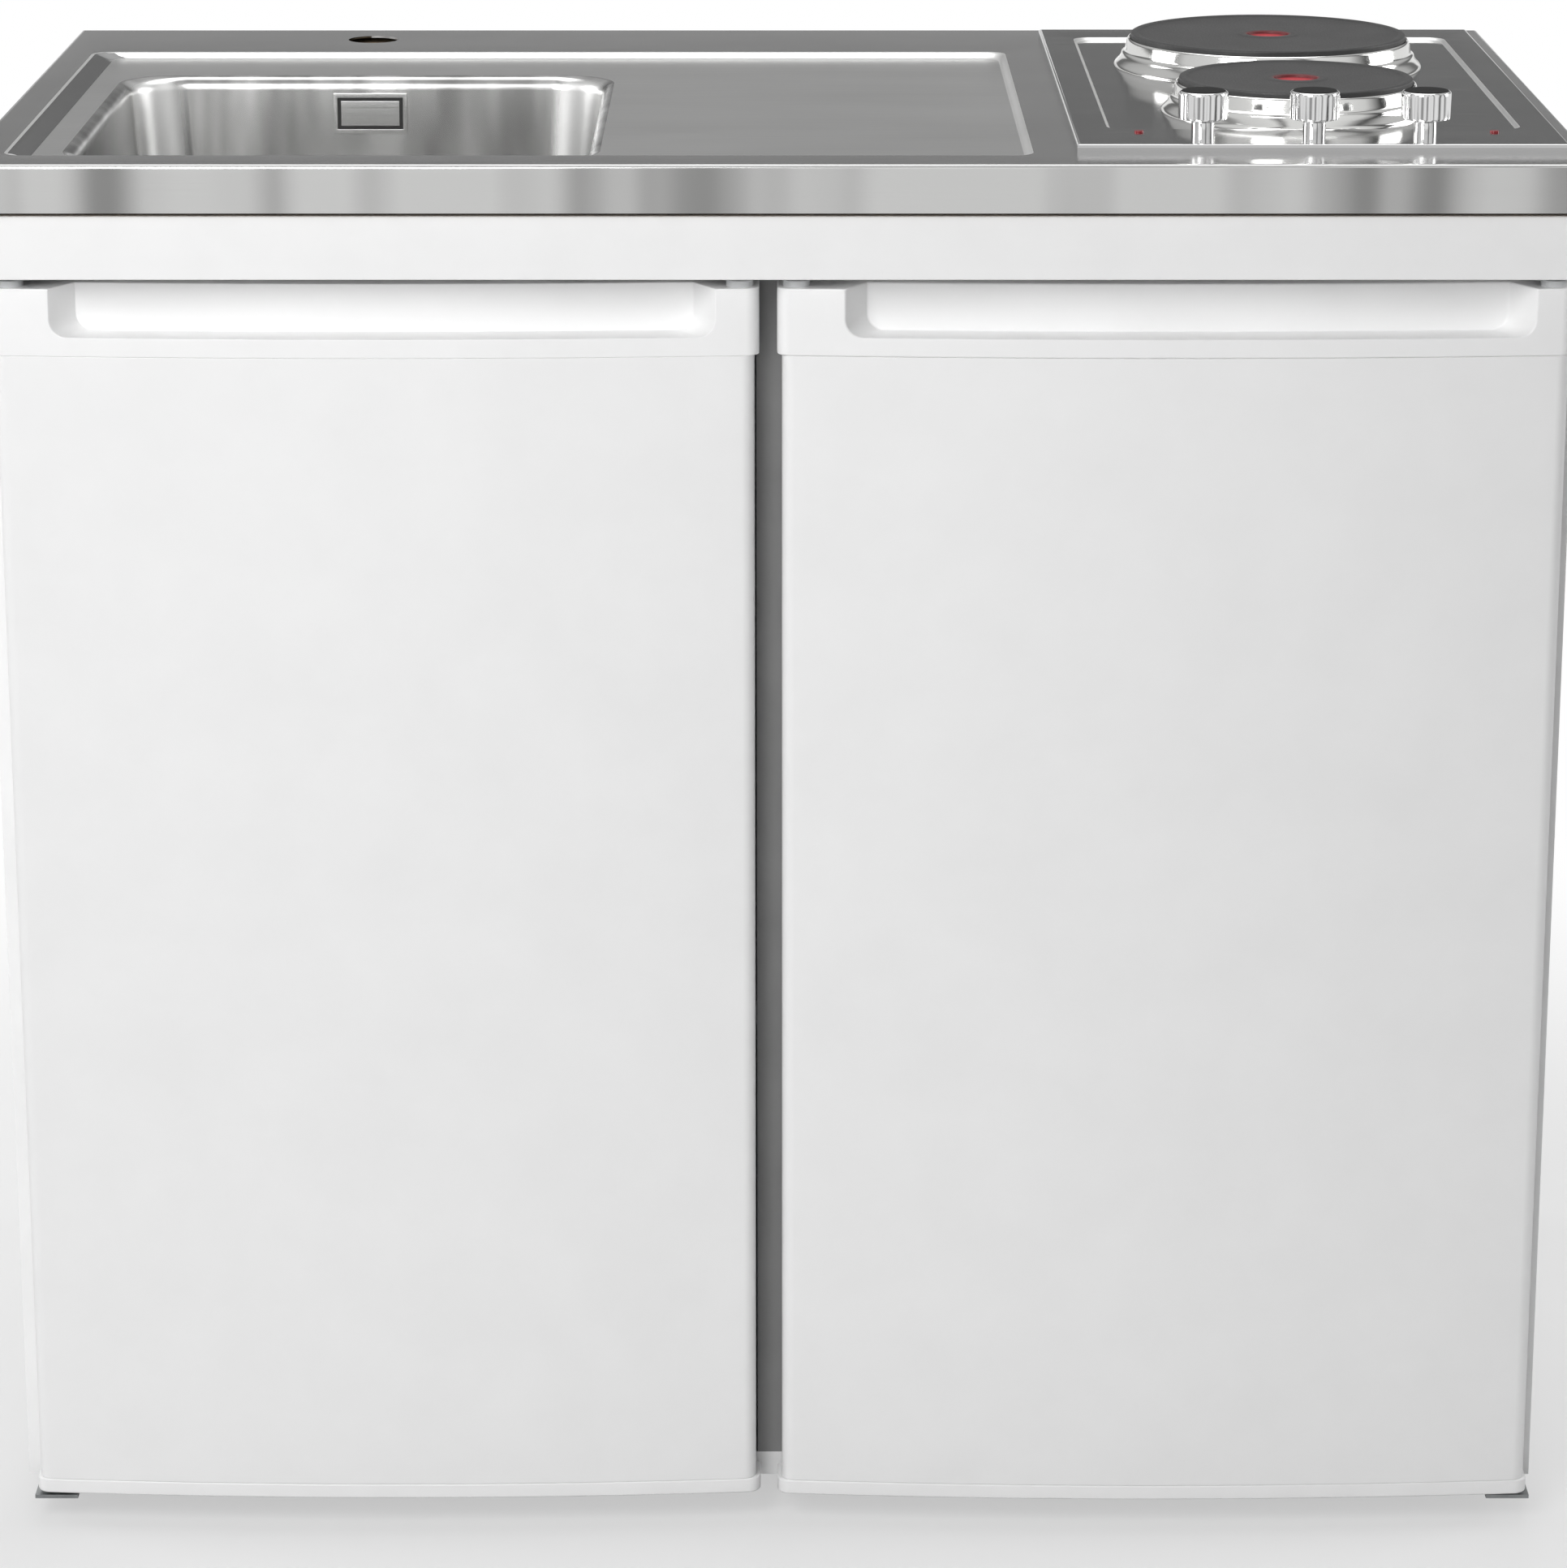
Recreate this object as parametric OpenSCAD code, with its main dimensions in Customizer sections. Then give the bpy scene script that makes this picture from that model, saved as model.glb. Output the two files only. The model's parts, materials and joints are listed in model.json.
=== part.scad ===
// Kitchenette unit: a stainless worktop with a pressed sink and an inset hob, on a carcass with a
// sink cupboard on the left and an under-counter refrigerator on the right, each behind a bowed door.
// Millimetres. X runs to the right, Y to the back, Z up; the origin is on the floor, under the middle.

/* [Unit] */
// Overall width, which is the worktop's
unit_w = 1000; // [960:5:1100]
// Overall depth, which is the worktop's
unit_d = 600; // [590:5:640]
// Height of the worktop above the floor
unit_h = 900; // [880:5:940]
// Height of the levelling feet
foot_h = 20; // [18:1:30]
// Thickness of the carcass boards
board_t = 16; // [15:1:19]
// How far the side panels stand in from the worktop's ends
side_inset = 4; // [2:1:8]
// Middle of the partition between the cupboard and the refrigerator
partition_x = -6; // [-20:1:10]
// Depth in front of the carcass that the doors and the fascia fill
door_zone = 50; // [46:1:56]

/* [Worktop] */
// Height of the folded front edge
skirt_h = 30; // [28:1:40]
// Thickness of the stainless sheet
sheet_t = 1.2; // [0.8:0.1:1.6]
// Radius of the worktop's upper edges
edge_r = 3; // [2:0.5:5]
// Depth of the pressed drainer recess
recess_d = 4; // [3:0.5:6]
// Distance from the worktop's left end to the recess
recess_side = 23; // [18:1:40]
// Distance from the worktop's front edge to the recess
recess_front = 35; // [30:1:50]
// Distance from the worktop's back edge to the recess
recess_back = 112; // [100:1:130]
// Width of the drainer, from the bowl to the recess's right end
drainer_w = 268; // [200:1:280]
// Corner radius of the recess
recess_r = 12; // [6:1:25]
// Diameter of the tap hole
tap_hole_d = 35; // [32:1:38]
// Distance from the worktop's back edge to the middle of the tap hole
tap_back = 50; // [40:1:60]
// Distance from the bowl's middle to the tap hole, to the left
tap_shift = 9; // [0:1:20]

/* [Sink] */
// Width of the bowl at its rim
bowl_w = 334; // [300:1:340]
// Front-to-back size of the bowl at its rim
bowl_l = 363; // [320:1:380]
// Depth of the bowl below the recess
bowl_depth = 150; // [130:1:170]
// Corner radius of the bowl at its rim
bowl_r = 38; // [30:1:80]
// Radius-like slope where the recess turns down into the bowl
bowl_lip = 8; // [6:1:12]
// How far each wall leans in on its way down
bowl_taper = 10; // [6:1:16]
// Radius-like slope where the walls turn into the floor
bowl_turn = 22; // [15:1:30]
// Distance from the recess's left end to the bowl
bowl_side = 32; // [28:1:50]
// Distance from the recess's front end to the bowl
bowl_front = 5; // [4:1:30]
// Width of the flange welded under the worktop
bowl_flange = 12; // [8:1:16]
// Width of the overflow plate
overflow_w = 50; // [40:1:60]
// Height of the overflow plate
overflow_h = 27; // [22:1:32]
// Distance from the bowl's rim down to the overflow plate
overflow_drop = 10; // [8:1:16]
// Diameter of the waste hole in the bowl
waste_d = 90; // [85:1:95]
// Diameter of the waste fitting's flange
waste_flange_d = 112; // [106:1:118]
// Diameter of the waste outlet's tail
outlet_d = 40; // [32:1:40]
// Distance from the bottle trap's top down to the waste outlet's middle
outlet_drop = 50; // [46:1:52]
// How far the strainer plug lifts
strainer_lift = 10; // [6:1:12]

/* [Hob] */
// Width of the hob tray
hob_w = 304; // [290:1:310]
// Front-to-back size of the hob tray
hob_l = 520; // [510:1:525]
// Distance from the worktop's right end to the hob
hob_side = 12; // [8:1:20]
// Distance from the worktop's front edge to the hob
hob_front = 47; // [44:1:60]
// Height of the hob tray above the worktop
hob_h = 5; // [4:0.5:8]
// Depth of the pressed field under the plates
hob_recess_d = 2; // [1:0.5:3]
// Distance from the tray's sides to the pressed field
hob_field_side = 22; // [18:1:26]
// Distance from the tray's front to the pressed field
hob_field_front = 60; // [52:1:62]
// Distance from the tray's back to the pressed field
hob_field_back = 42; // [30:1:50]
// Depth of the casing under the tray
casing_h = 45; // [42:1:50]
// Diameter of the front hotplate
front_plate_d = 150; // [145:1:155]
// Diameter of the rear hotplate
rear_plate_d = 186; // [180:1:190]
// Height of the plates' tops above the worktop
plate_h = 25; // [22:1:28]
// Distance from the worktop's front edge to the front plate's middle
front_plate_y = 198; // [195:1:202]
// Distance from the front plate's middle to the rear plate's middle
plate_pitch = 205; // [200:1:208]
// Distance from the tray's middle line to the plates and knobs, to the left
plate_shift = 4; // [0:1:8]
// Width of the steel collar round each plate
collar_w = 11; // [9:1:13]
// Distance from the worktop's front edge to the knobs' axes
knob_y = 72; // [70:1:74]
// Distance between neighbouring knobs
knob_pitch = 69; // [60:1:72]
// Diameter of a hob knob
knob_d = 31; // [28:1:34]
// Height of a hob knob's body
knob_h = 18; // [16:1:20]
// Height of the neck under a knob's body
knob_neck_h = 12; // [10:1:14]
// Distance from the tray's middle line to each pilot lamp
lamp_x = 111; // [105:1:116]
// Distance from the worktop's front edge to the pilot lamps
lamp_y = 95; // [92:1:98]

/* [Doors] */
// Height of the fascia above the doors
fascia_h = 42; // [38:1:46]
// How far the fascia stands back from the worktop's front edge
fascia_setback = 5; // [3:1:8]
// Gap between the fascia and the doors
top_gap = 7; // [6:1:9]
// Gap between the carcass's underside and the left door's bottom edge
door_rise = 2; // [2:0.5:4]
// How much lower the right door hangs than the left one
right_drop = 1; // [0:0.5:1]
// How far the doors' side edges stand back from the worktop's front edge
door_setback = 15; // [13:1:17]
// How far the middle of a door bows forward of its side edges
door_bow = 10; // [6:1:12]
// Radius of the doors' upright front edges
door_edge_r = 8; // [5:1:10]
// Distance from the worktop's left end to the left door
left_door_inset = 14; // [12:1:18]
// Distance from the worktop's right end to the right door
right_door_inset = 10; // [8:1:18]
// Distance from the partition's middle to the left door
left_door_gap = 6; // [5:1:10]
// Distance from the partition's middle to the right door
right_door_gap = 5; // [5:1:10]
// Height of the handle trim along a door's top
handle_h = 42; // [38:1:50]
// Height of the handle trim's front lip
lip_h = 12; // [10:1:16]
// Thickness of that lip
lip_t = 6; // [4:1:8]
// Depth of the grip recess
grip_d = 20; // [17:1:22]
// Distance from a door's hinge side to the grip recess
grip_outer = 26; // [24:1:40]
// Distance from a door's free side to the grip recess
grip_inner = 31; // [26:1:40]
// Height of the trim along a door's bottom
sill_h = 10; // [8:1:14]
// Thickness of the doors' steel skin
skin_t = 1; // [0.8:0.1:1.5]
// Distance from a door's hinge side to its hinge axis
pivot_x = 12; // [11:0.5:12]
// Distance from a door's front edge line back to its hinge axis
pivot_y = 11; // [10.5:0.5:11.5]
// Diameter of the hinge pins
pin_d = 8; // [6:1:9]

/* [Cupboard] */
// Height of the cupboard shelf above the floor
shelf_z = 330; // [250:5:420]
// How far the shelf stops short of the doors' plane
shelf_back = 10; // [8:1:60]

/* [Refrigerator] */
// Thickness of the insulation at the sides, the top and the bottom
foam_t = 30; // [24:1:34]
// Thickness of the insulation at the back
foam_back_t = 40; // [36:1:44]
// Thickness of the refrigerator's plastic liner
liner_t = 2; // [1.5:0.5:3]
// Space left behind the refrigerator for its condenser
condenser_gap = 74; // [70:1:80]
// Height of the compressor's niche
niche_h = 150; // [140:1:160]
// Depth of the compressor's niche
niche_l = 165; // [155:1:170]
// Height of the ice box
ice_box_h = 118; // [100:1:122]
// Distance from the carcass front to the ice box's front
ice_box_back = 130; // [128:1:140]
// Distance from the carcass front to the glass shelves
glass_back = 100; // [98:1:120]
// Thickness of the glass shelves
glass_t = 4; // [4:0.5:5]
// Place of the lower glass shelf between the drawer's cover, at 0, and the ice box, at 1
lower_glass_share = 0.315; // [0.3:0.005:0.33]
// Place of the upper glass shelf between the drawer's cover, at 0, and the ice box, at 1
upper_glass_share = 0.635; // [0.62:0.005:0.65]
// Distance from the carcass front to the crisper drawer
crisper_back = 110; // [105:1:115]
// How far the crisper drawer slides with the door shut
crisper_slide = 85; // [60:1:90]
// Depth of the racks inside the door
rack_l = 88; // [70:1:92]
// Height of a door rack
rack_h = 55; // [45:1:60]
// Height of the lower door rack above the floor
rack_z1 = 235; // [230:1:260]
// Height of the upper door rack above the floor
rack_z2 = 500; // [420:5:520]
// Diameter of the compressor
compressor_d = 140; // [120:1:144]
// Diameter of the thermostat knob
dial_d = 28; // [22:1:32]

/* [Hidden] */

// Smoothness of round pieces, and steps in a quarter turn or along a door's bow
$fn = 64;
arc_steps = 8;
bow_steps = 24;
// Overshoot of a cut past the face it opens
over = 1;
// Thickness of the slices that the bowl is drawn through
slice_t = 0.01;
// Gap between pieces that lie side by side or pass each other
loose = 0.3;
// Gap round a shaft that turns in its hole
running = 0.05;

// The worktop's outline and the levels below it
x_left = -unit_w / 2;
x_right = unit_w / 2;
y_front = -unit_d / 2;
y_back = unit_d / 2;
z_under = unit_h - skirt_h;
z_recess = unit_h - recess_d;
z_sheet = z_recess - sheet_t;

// The carcass
carcass_y = y_front + door_zone;
panel_out = unit_w / 2 - side_inset;
panel_in = panel_out - board_t;
floor_z = foot_h + board_t;
part_x0 = partition_x - board_t / 2;
part_x1 = partition_x + board_t / 2;
wall_gap = 3;
panel_back_y = y_back - wall_gap;
rail_y = panel_back_y - board_t;
back_t = 6;
back_y = rail_y - back_t;
fascia_z = z_under - fascia_h;
fascia_y = y_front + fascia_setback;
fascia_back_y = fascia_y + board_t;
post_l = 20;
service_r = 25;
service_shift = 120;
fixing_drop = 50;
fixing_z = z_under - fixing_drop;
fixing_r = 4;
fixing_in = 50;
rail_h = 70;
foot_r = 20;
foot_stem_r = 8;
foot_pad_h = 7;
foot_socket_r = 14;
foot_socket_h = 6;
foot_in = 30;
foot_back = 50;
foot_xs = [-panel_in + foot_in, panel_in - foot_in];
foot_ys = [carcass_y + foot_back, panel_back_y - foot_back];

// The recess, the bowl and the tap hole
rec_x0 = x_left + recess_side;
rec_y0 = y_front + recess_front;
rec_y1 = y_back - recess_back;
bowl_x0 = rec_x0 + bowl_side;
bowl_x1 = bowl_x0 + bowl_w;
bowl_y0 = rec_y0 + bowl_front;
bowl_y1 = bowl_y0 + bowl_l;
rec_x1 = bowl_x1 + drainer_w;
bowl_x = (bowl_x0 + bowl_x1) / 2;
bowl_y = (bowl_y0 + bowl_y1) / 2;
bowl_floor_z = z_sheet - bowl_depth;
bowl_wall_y = bowl_y1 - bowl_lip;
bowl_lean = atan(bowl_taper / (bowl_depth - bowl_turn - bowl_lip));
tap_x = bowl_x - tap_shift;
tap_y = y_back - tap_back;
tap_clear = 5;
board_clear = 2;

// The waste fitting and the pipes
waste_rim_t = 2;
waste_wall = 2;
waste_cup_h = 46;
waste_cup_z = bowl_floor_z - waste_cup_h;
tail_r = 16;
tail_wall = 2;
tail_h = 18;
trap_r = 30;
trap_h = 96;
trap_top_z = waste_cup_z - tail_h;
cup_slack = 1;
cup_r = waste_d / 2 - cup_slack;
nut_wall = 7;
nut_r = waste_d / 2 + nut_wall;
nut_h = 9;
boss_r = 6;
stem_r = 3;
stem_spare = 2;
pipe_r = 16;
outlet_z = trap_top_z - outlet_drop;
outlet_len = 15;
overflow_pipe_r = 9;
overflow_pipe_gap = 2;
overflow_pipe_back = overflow_pipe_r + overflow_pipe_gap;
overflow_z = z_sheet - overflow_drop - overflow_h / 2;
overflow_low_z = bowl_floor_z - waste_cup_h / 2;
overflow_t = 2;

// The hob
hob_x1 = x_right - hob_side;
hob_x0 = hob_x1 - hob_w;
hob_y0 = y_front + hob_front;
hob_y1 = hob_y0 + hob_l;
hob_z = unit_h + hob_h;
hob_lap = 9;
hob_r = 6;
hob_edge_r = 2;
spindle_gap = 1;
spigot_gap = 1;
field_z = hob_z - hob_recess_d;
plate_x = (hob_x0 + hob_x1) / 2 - plate_shift;
front_y = y_front + front_plate_y;
rear_y = front_y + plate_pitch;
plate_top = unit_h + plate_h;
plate_spigot = 10;
spigot_h = 12;
collar_drop = 3.5;
collar_h = plate_top - field_z - collar_drop;
dot_r = 14;
casing_z = hob_z - sheet_t - casing_h;
casing_gap = 3;
knob_axis_y = y_front + knob_y;
knob_xs = [for (i = [-1 : 1]) plate_x + i * knob_pitch];
knob_cap_h = 3;
knob_neck_d = 16;
spindle_r = 3;
spindle_l = 30;
regulator_w = 34;
regulator_h = 34;
lamp_r = 3;

// The doors: x0 and x1 are the outer and inner edges of each trim
left_x0 = x_left + left_door_inset;
left_x1 = partition_x - left_door_gap;
right_x0 = partition_x + right_door_gap;
right_x1 = x_right - right_door_inset;
door_top = fascia_z - top_gap;
door_low = foot_h + door_rise;
right_low = door_low - right_drop;
door_y = y_front + door_setback;
seal_t = 4;
door_back_y = carcass_y - seal_t;
inner_t = 2;
core_back_y = door_back_y - inner_t;
hinge_y = door_y + pivot_y;
left_hinge_x = left_x0 + pivot_x;
right_hinge_x = right_x1 - pivot_x;
handle_z = door_top - handle_h;
panel_outer_step = 2;
panel_inner_step = 3;
left_panel_x0 = left_x0 + panel_outer_step;
left_panel_x1 = left_x1 - panel_inner_step;
right_panel_x0 = right_x0 + panel_inner_step;
right_panel_x1 = right_x1 - panel_outer_step;
grip_channel = 8;
seal_w = 12;
seal_in = 10;
bush_r = 7;
bush_wall = 1.5;
bush_cap_h = 4;
bush_l = 18;
pocket_floor = 1;
low_bush_h = sill_h - pocket_floor;
plate_t = 2.5;
packing_t = 1;
hinge_reach = 14;
hinge_edge = 8;
hinge_grip = 26;
hinge_back_gap = 3;
pin_short = 2;

// The refrigerator
fr_x0 = part_x1;
fr_x1 = panel_in;
fr_z0 = floor_z;
fr_top_gap = 2;
fr_z1 = fascia_z - fr_top_gap;
back_sheet_t = 1;
fr_y1 = y_back - condenser_gap - back_sheet_t;
cav_x0 = fr_x0 + foam_t;
cav_x1 = fr_x1 - foam_t;
cav_y1 = fr_y1 - foam_back_t;
cav_z0 = fr_z0 + foam_t;
foam_top_extra = 6;
cav_z1 = fr_z1 - foam_t - foam_top_extra;
step_y = fr_y1 - niche_l - foam_back_t;
step_z = fr_z0 + niche_h + foam_t;
in_x0 = cav_x0 + liner_t;
in_x1 = cav_x1 - liner_t;
in_y1 = cav_y1 - liner_t;
in_z0 = cav_z0 + liner_t;
in_z1 = cav_z1 - liner_t;
in_step_y = step_y - liner_t;
in_step_z = step_z + liner_t;
ledge = 8;
ledge_h = 4;
ice_z1 = in_z1 - loose;
ice_z0 = ice_z1 - ice_box_h;
ice_y0 = carcass_y + ice_box_back;
ice_wall = 2;
flap_t = 4;
flap_pin_r = 2.5;
flap_axis_drop = 6;
flap_axis_z = ice_z1 - flap_axis_drop;
glass_room = ice_z0 - in_step_z;
glass_zs = [in_step_z + lower_glass_share * glass_room, in_step_z + upper_glass_share * glass_room];
flap_axis_y = ice_y0 - flap_t / 2 - loose;
crisper_y0 = carcass_y + crisper_back;
crisper_wall = 2.5;
crisper_side = 16;
dyke_w = 12;
dyke_in = 12;
dyke_l = 18;
dyke_x0 = in_x0 + dyke_in;
dyke_x1 = in_x1 - dyke_in;
rack_wall = 2.5;
housing_out = 40;
dial_x = in_x1 - housing_out;
dial_y = 30;
dial_stem = 12;
dial_drop = 45;
dial_z = ice_z0 - dial_drop;
housing_l = 88;
housing_h = 56;
comp_shift = 88;
comp_x = (fr_x0 + fr_x1) / 2 + comp_shift;
comp_y = fr_y1 - niche_l / 2;
comp_r = compressor_d / 2;
comp_rail_h = 6;
grommet_h = 8;
comp_clear = 14;
comp_h = niche_h - comp_rail_h - grommet_h - comp_clear;
tube_r = 3;
tube_pitch = 44;
condenser_off = 16;
condenser_y = fr_y1 + condenser_off;
condenser_in = 50;
condenser_end = 30;

// ---------------------------------------------------------------- shapes used by several pieces

// A block given by its lowest and highest corners
module block(a, b) {
  translate(a) cube([b[0] - a[0], b[1] - a[1], b[2] - a[2]]);
}

// Points along an arc
function arc(cx, cy, r, a0, a1) =
  [for (i = [0 : arc_steps]) let (a = a0 + (a1 - a0) * i / arc_steps) [cx + r * cos(a), cy + r * sin(a)]];

// The outline of a rectangle with round corners
function round_rect(x0, x1, y0, y1, r) = concat(
  arc(x1 - r, y0 + r, r, -90, 0),
  arc(x1 - r, y1 - r, r, 0, 90),
  arc(x0 + r, y1 - r, r, 90, 180),
  arc(x0 + r, y0 + r, r, 180, 270)
);

// A flat plate with round corners
module plate(x0, x1, y0, y1, r, z0, z1) {
  translate([0, 0, z0]) linear_extrude(z1 - z0) polygon(round_rect(x0, x1, y0, y1, r));
}

// A shape's cross-section with its two upper corners rounded
function round_top(a0, a1, z0, z1, r) = concat(
  [[a0, z0], [a1, z0]],
  arc(a1 - r, z1 - r, r, 0, 90),
  arc(a0 + r, z1 - r, r, 90, 180)
);

// A block whose four upper edges are rounded
module lid(x0, x1, y0, y1, z0, z1, r) {
  intersection() {
    translate([0, y1, 0]) rotate([90, 0, 0]) linear_extrude(y1 - y0) polygon(round_top(x0, x1, z0, z1, r));
    translate([x0, 0, 0]) rotate([90, 0, 90]) linear_extrude(x1 - x0) polygon(round_top(y0, y1, z0, z1, r));
  }
}

// An upright round bar
module post(x, y, r, z0, z1) {
  translate([x, y, z0]) cylinder(r = r, h = z1 - z0);
}

// A round bar that runs front to back
module bar_y(x, z, r, y0, y1) {
  translate([x, y0, z]) rotate([-90, 0, 0]) cylinder(r = r, h = y1 - y0);
}

// A round bar that runs left to right
module bar_x(y, z, r, x0, x1) {
  translate([x0, y, z]) rotate([0, 90, 0]) cylinder(r = r, h = x1 - x0);
}

// An open box with a floor
module tub(a, b, wall) {
  difference() {
    block(a, b);
    block([a[0] + wall, a[1] + wall, a[2] + wall], [b[0] - wall, b[1] - wall, b[2] + over]);
  }
}

// The bowed front of a door that runs from x0 to x1
function bow(x, x0, x1) = door_y - door_bow * (1 - pow((2 * x - x0 - x1) / (x1 - x0), 2));

// Points along that bow from a to b, pushed back by dy
function bow_line(a, b, x0, x1, dy) =
  [for (i = [0 : bow_steps]) let (x = a + (b - a) * i / bow_steps) [x, bow(x, x0, x1) + dy]];

// A door's plan from a to b, with round front corners, cut flat at yb
function door_plan(a, b, x0, x1, dy, yb, r) = concat(
  [[a, yb]],
  arc(a + r, bow(a + r, x0, x1) + r + dy, r, 180, 270),
  bow_line(a + r, b - r, x0, x1, dy),
  arc(b - r, bow(b - r, x0, x1) + r + dy, r, 270, 360),
  [[b, yb]]
);

module door_slab(a, b, x0, x1, dy, yb, r, z0, z1) {
  translate([0, 0, z0]) linear_extrude(z1 - z0) polygon(door_plan(a, b, x0, x1, dy, yb, r));
}

// The steel skin: a shell open at the back, between the two trims
module door_skin(a, b, x0, x1, low) {
  difference() {
    door_slab(a, b, x0, x1, 0, core_back_y, door_edge_r, low + sill_h, handle_z);
    door_slab(a + skin_t, b - skin_t, x0, x1, skin_t, core_back_y + over, door_edge_r - skin_t,
              low + sill_h - over, handle_z + over);
  }
}

// The foam that fills the skin
module door_core(a, b, x0, x1, low) {
  door_slab(a + skin_t, b - skin_t, x0, x1, skin_t, core_back_y, door_edge_r - skin_t, low + sill_h, handle_z);
}

// The handle trim: a grip recess open to the front and the top, with a finger channel behind its lip
module door_handle(x0, x1, grip_a, grip_b, hinge_x) {
  lip_z = handle_z + lip_h;
  inner_a = grip_a + grip_d;
  inner_b = grip_b - grip_d;
  difference() {
    door_slab(x0, x1, x0, x1, 0, core_back_y, door_edge_r, handle_z, door_top);
    translate([0, 0, lip_z]) linear_extrude(handle_h) polygon(concat(
      [[grip_b, bow(grip_b, x0, x1)], [grip_b, y_front - over], [grip_a, y_front - over],
       [grip_a, bow(grip_a, x0, x1)]],
      bow_line(inner_a, inner_b, x0, x1, grip_d)
    ));
    translate([0, 0, lip_z - grip_channel]) linear_extrude(handle_h) polygon(concat(
      bow_line(inner_a, inner_b, x0, x1, lip_t),
      [for (p = [bow_steps : -1 : 0]) bow_line(inner_a, inner_b, x0, x1, grip_d)[p]]
    ));
    post(hinge_x, hinge_y, bush_r, door_top - bush_l, door_top + over);
  }
}

// The trim along the bottom, with a pocket for the lower bush
module door_sill(x0, x1, low, hinge_x) {
  difference() {
    door_slab(x0, x1, x0, x1, 0, core_back_y, door_edge_r, low, low + sill_h);
    post(hinge_x, hinge_y, bush_r, low - over, low + low_bush_h);
  }
}

// The soft seal on a door's inner face
module door_seal(a, b, low) {
  y0 = door_back_y;
  y1 = carcass_y - loose;
  z0 = low + seal_in;
  z1 = door_top - seal_in;
  difference() {
    block([a, y0, z0], [b, y1, z1]);
    block([a + seal_w, y0 - over, z0 + seal_w], [b - seal_w, y1 + over, z1 - seal_w]);
  }
}

// The plastic bushes that the hinge pins turn in, and the cap that fills the spare corner
module door_bushes(hinge_x, spare_x, low) {
  top_z = door_top + bush_cap_h;
  difference() {
    union() {
      post(hinge_x, hinge_y, bush_r, door_top - bush_l, door_top);
      post(hinge_x, hinge_y, bush_r + bush_wall, door_top, top_z);
    }
    post(hinge_x, hinge_y, pin_d / 2 + running, door_top - bush_l - over, top_z + over);
  }
  post(spare_x, hinge_y, bush_r + bush_wall, door_top, top_z);
  difference() {
    post(hinge_x, hinge_y, bush_r, low, low + low_bush_h);
    post(hinge_x, hinge_y, pin_d / 2 + running, low - over, low + sill_h);
  }
}

// ---------------------------------------------------------------- worktop and sink

// Folded and pressed from one stainless sheet
module worktop() {
  t = sheet_t;
  color("silver") difference() {
    union() {
      difference() {
        lid(x_left, x_right, y_front, y_back, z_under, unit_h, edge_r);
        lid(x_left + t, x_right - t, y_front + t, y_back - t, z_under - over, unit_h - t, edge_r - t);
      }
      plate(rec_x0 - t, rec_x1 + t, rec_y0 - t, rec_y1 + t, recess_r + t, z_sheet, unit_h - t / 2);
    }
    plate(rec_x0, rec_x1, rec_y0, rec_y1, recess_r, z_recess, unit_h + over);
    plate(bowl_x0, bowl_x1, bowl_y0, bowl_y1, bowl_r, z_sheet - over, unit_h + over);
    hob_cutout(0, unit_h - skirt_h, unit_h + over);
    post(tap_x, tap_y, tap_hole_d / 2, z_under, unit_h + over);
  }
}

// The opening that the hob hangs in
module hob_cutout(grow, z0, z1) {
  lap = hob_lap - grow;
  plate(hob_x0 + lap, hob_x1 - lap, hob_y0 + lap, hob_y1 - lap, hob_r + grow, z0, z1);
}

// The board that stiffens the sheet from below
module worktop_board() {
  t = sheet_t;
  grow = bowl_flange + board_clear;
  color("burlywood") difference() {
    block([x_left + t, y_front + t, z_under], [x_right - t, y_back - t, z_sheet]);
    plate(bowl_x0 - grow, bowl_x1 + grow, bowl_y0 - grow, bowl_y1 + grow, bowl_r, z_under - over, unit_h);
    hob_cutout(board_clear, z_under - over, unit_h);
    post(tap_x, tap_y, tap_hole_d / 2 + tap_clear, z_under - over, unit_h);
  }
}

// A thin slice of the bowl, drawn in by inset, or of its outside where grow is the sheet's thickness
module bowl_slice(inset, grow, z) {
  d = inset - grow;
  translate([0, 0, z]) linear_extrude(slice_t)
    polygon(round_rect(bowl_x0 + d, bowl_x1 - d, bowl_y0 + d, bowl_y1 - d, bowl_r - inset / 2));
}

// The bowl's form: a lip, leaning walls, and a turn into the floor
module bowl_form(grow) {
  lip_z = z_sheet - bowl_lip;
  turn_z = bowl_floor_z + bowl_turn;
  wall_inset = bowl_lip + bowl_taper;
  hull() {
    bowl_slice(0, grow, z_sheet - slice_t);
    bowl_slice(bowl_lip, grow, lip_z);
  }
  hull() {
    bowl_slice(bowl_lip, grow, lip_z);
    bowl_slice(wall_inset, grow, turn_z);
    bowl_slice(wall_inset + bowl_turn, grow, bowl_floor_z - grow);
  }
}

module sink_bowl() {
  t = sheet_t;
  lap = bowl_flange;
  color("silver") difference() {
    union() {
      bowl_form(t);
      plate(bowl_x0 - lap, bowl_x1 + lap, bowl_y0 - lap, bowl_y1 + lap, bowl_r, z_sheet - t, z_sheet);
    }
    bowl_form(0);
    plate(bowl_x0, bowl_x1, bowl_y0, bowl_y1, bowl_r, z_sheet - slice_t, z_sheet + over);
    post(bowl_x, bowl_y, waste_d / 2, bowl_floor_z - recess_r, bowl_floor_z + over);
    bar_y(bowl_x, overflow_z, overflow_pipe_r, bowl_wall_y - bowl_turn, bowl_wall_y + bowl_turn);
  }
}

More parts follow.
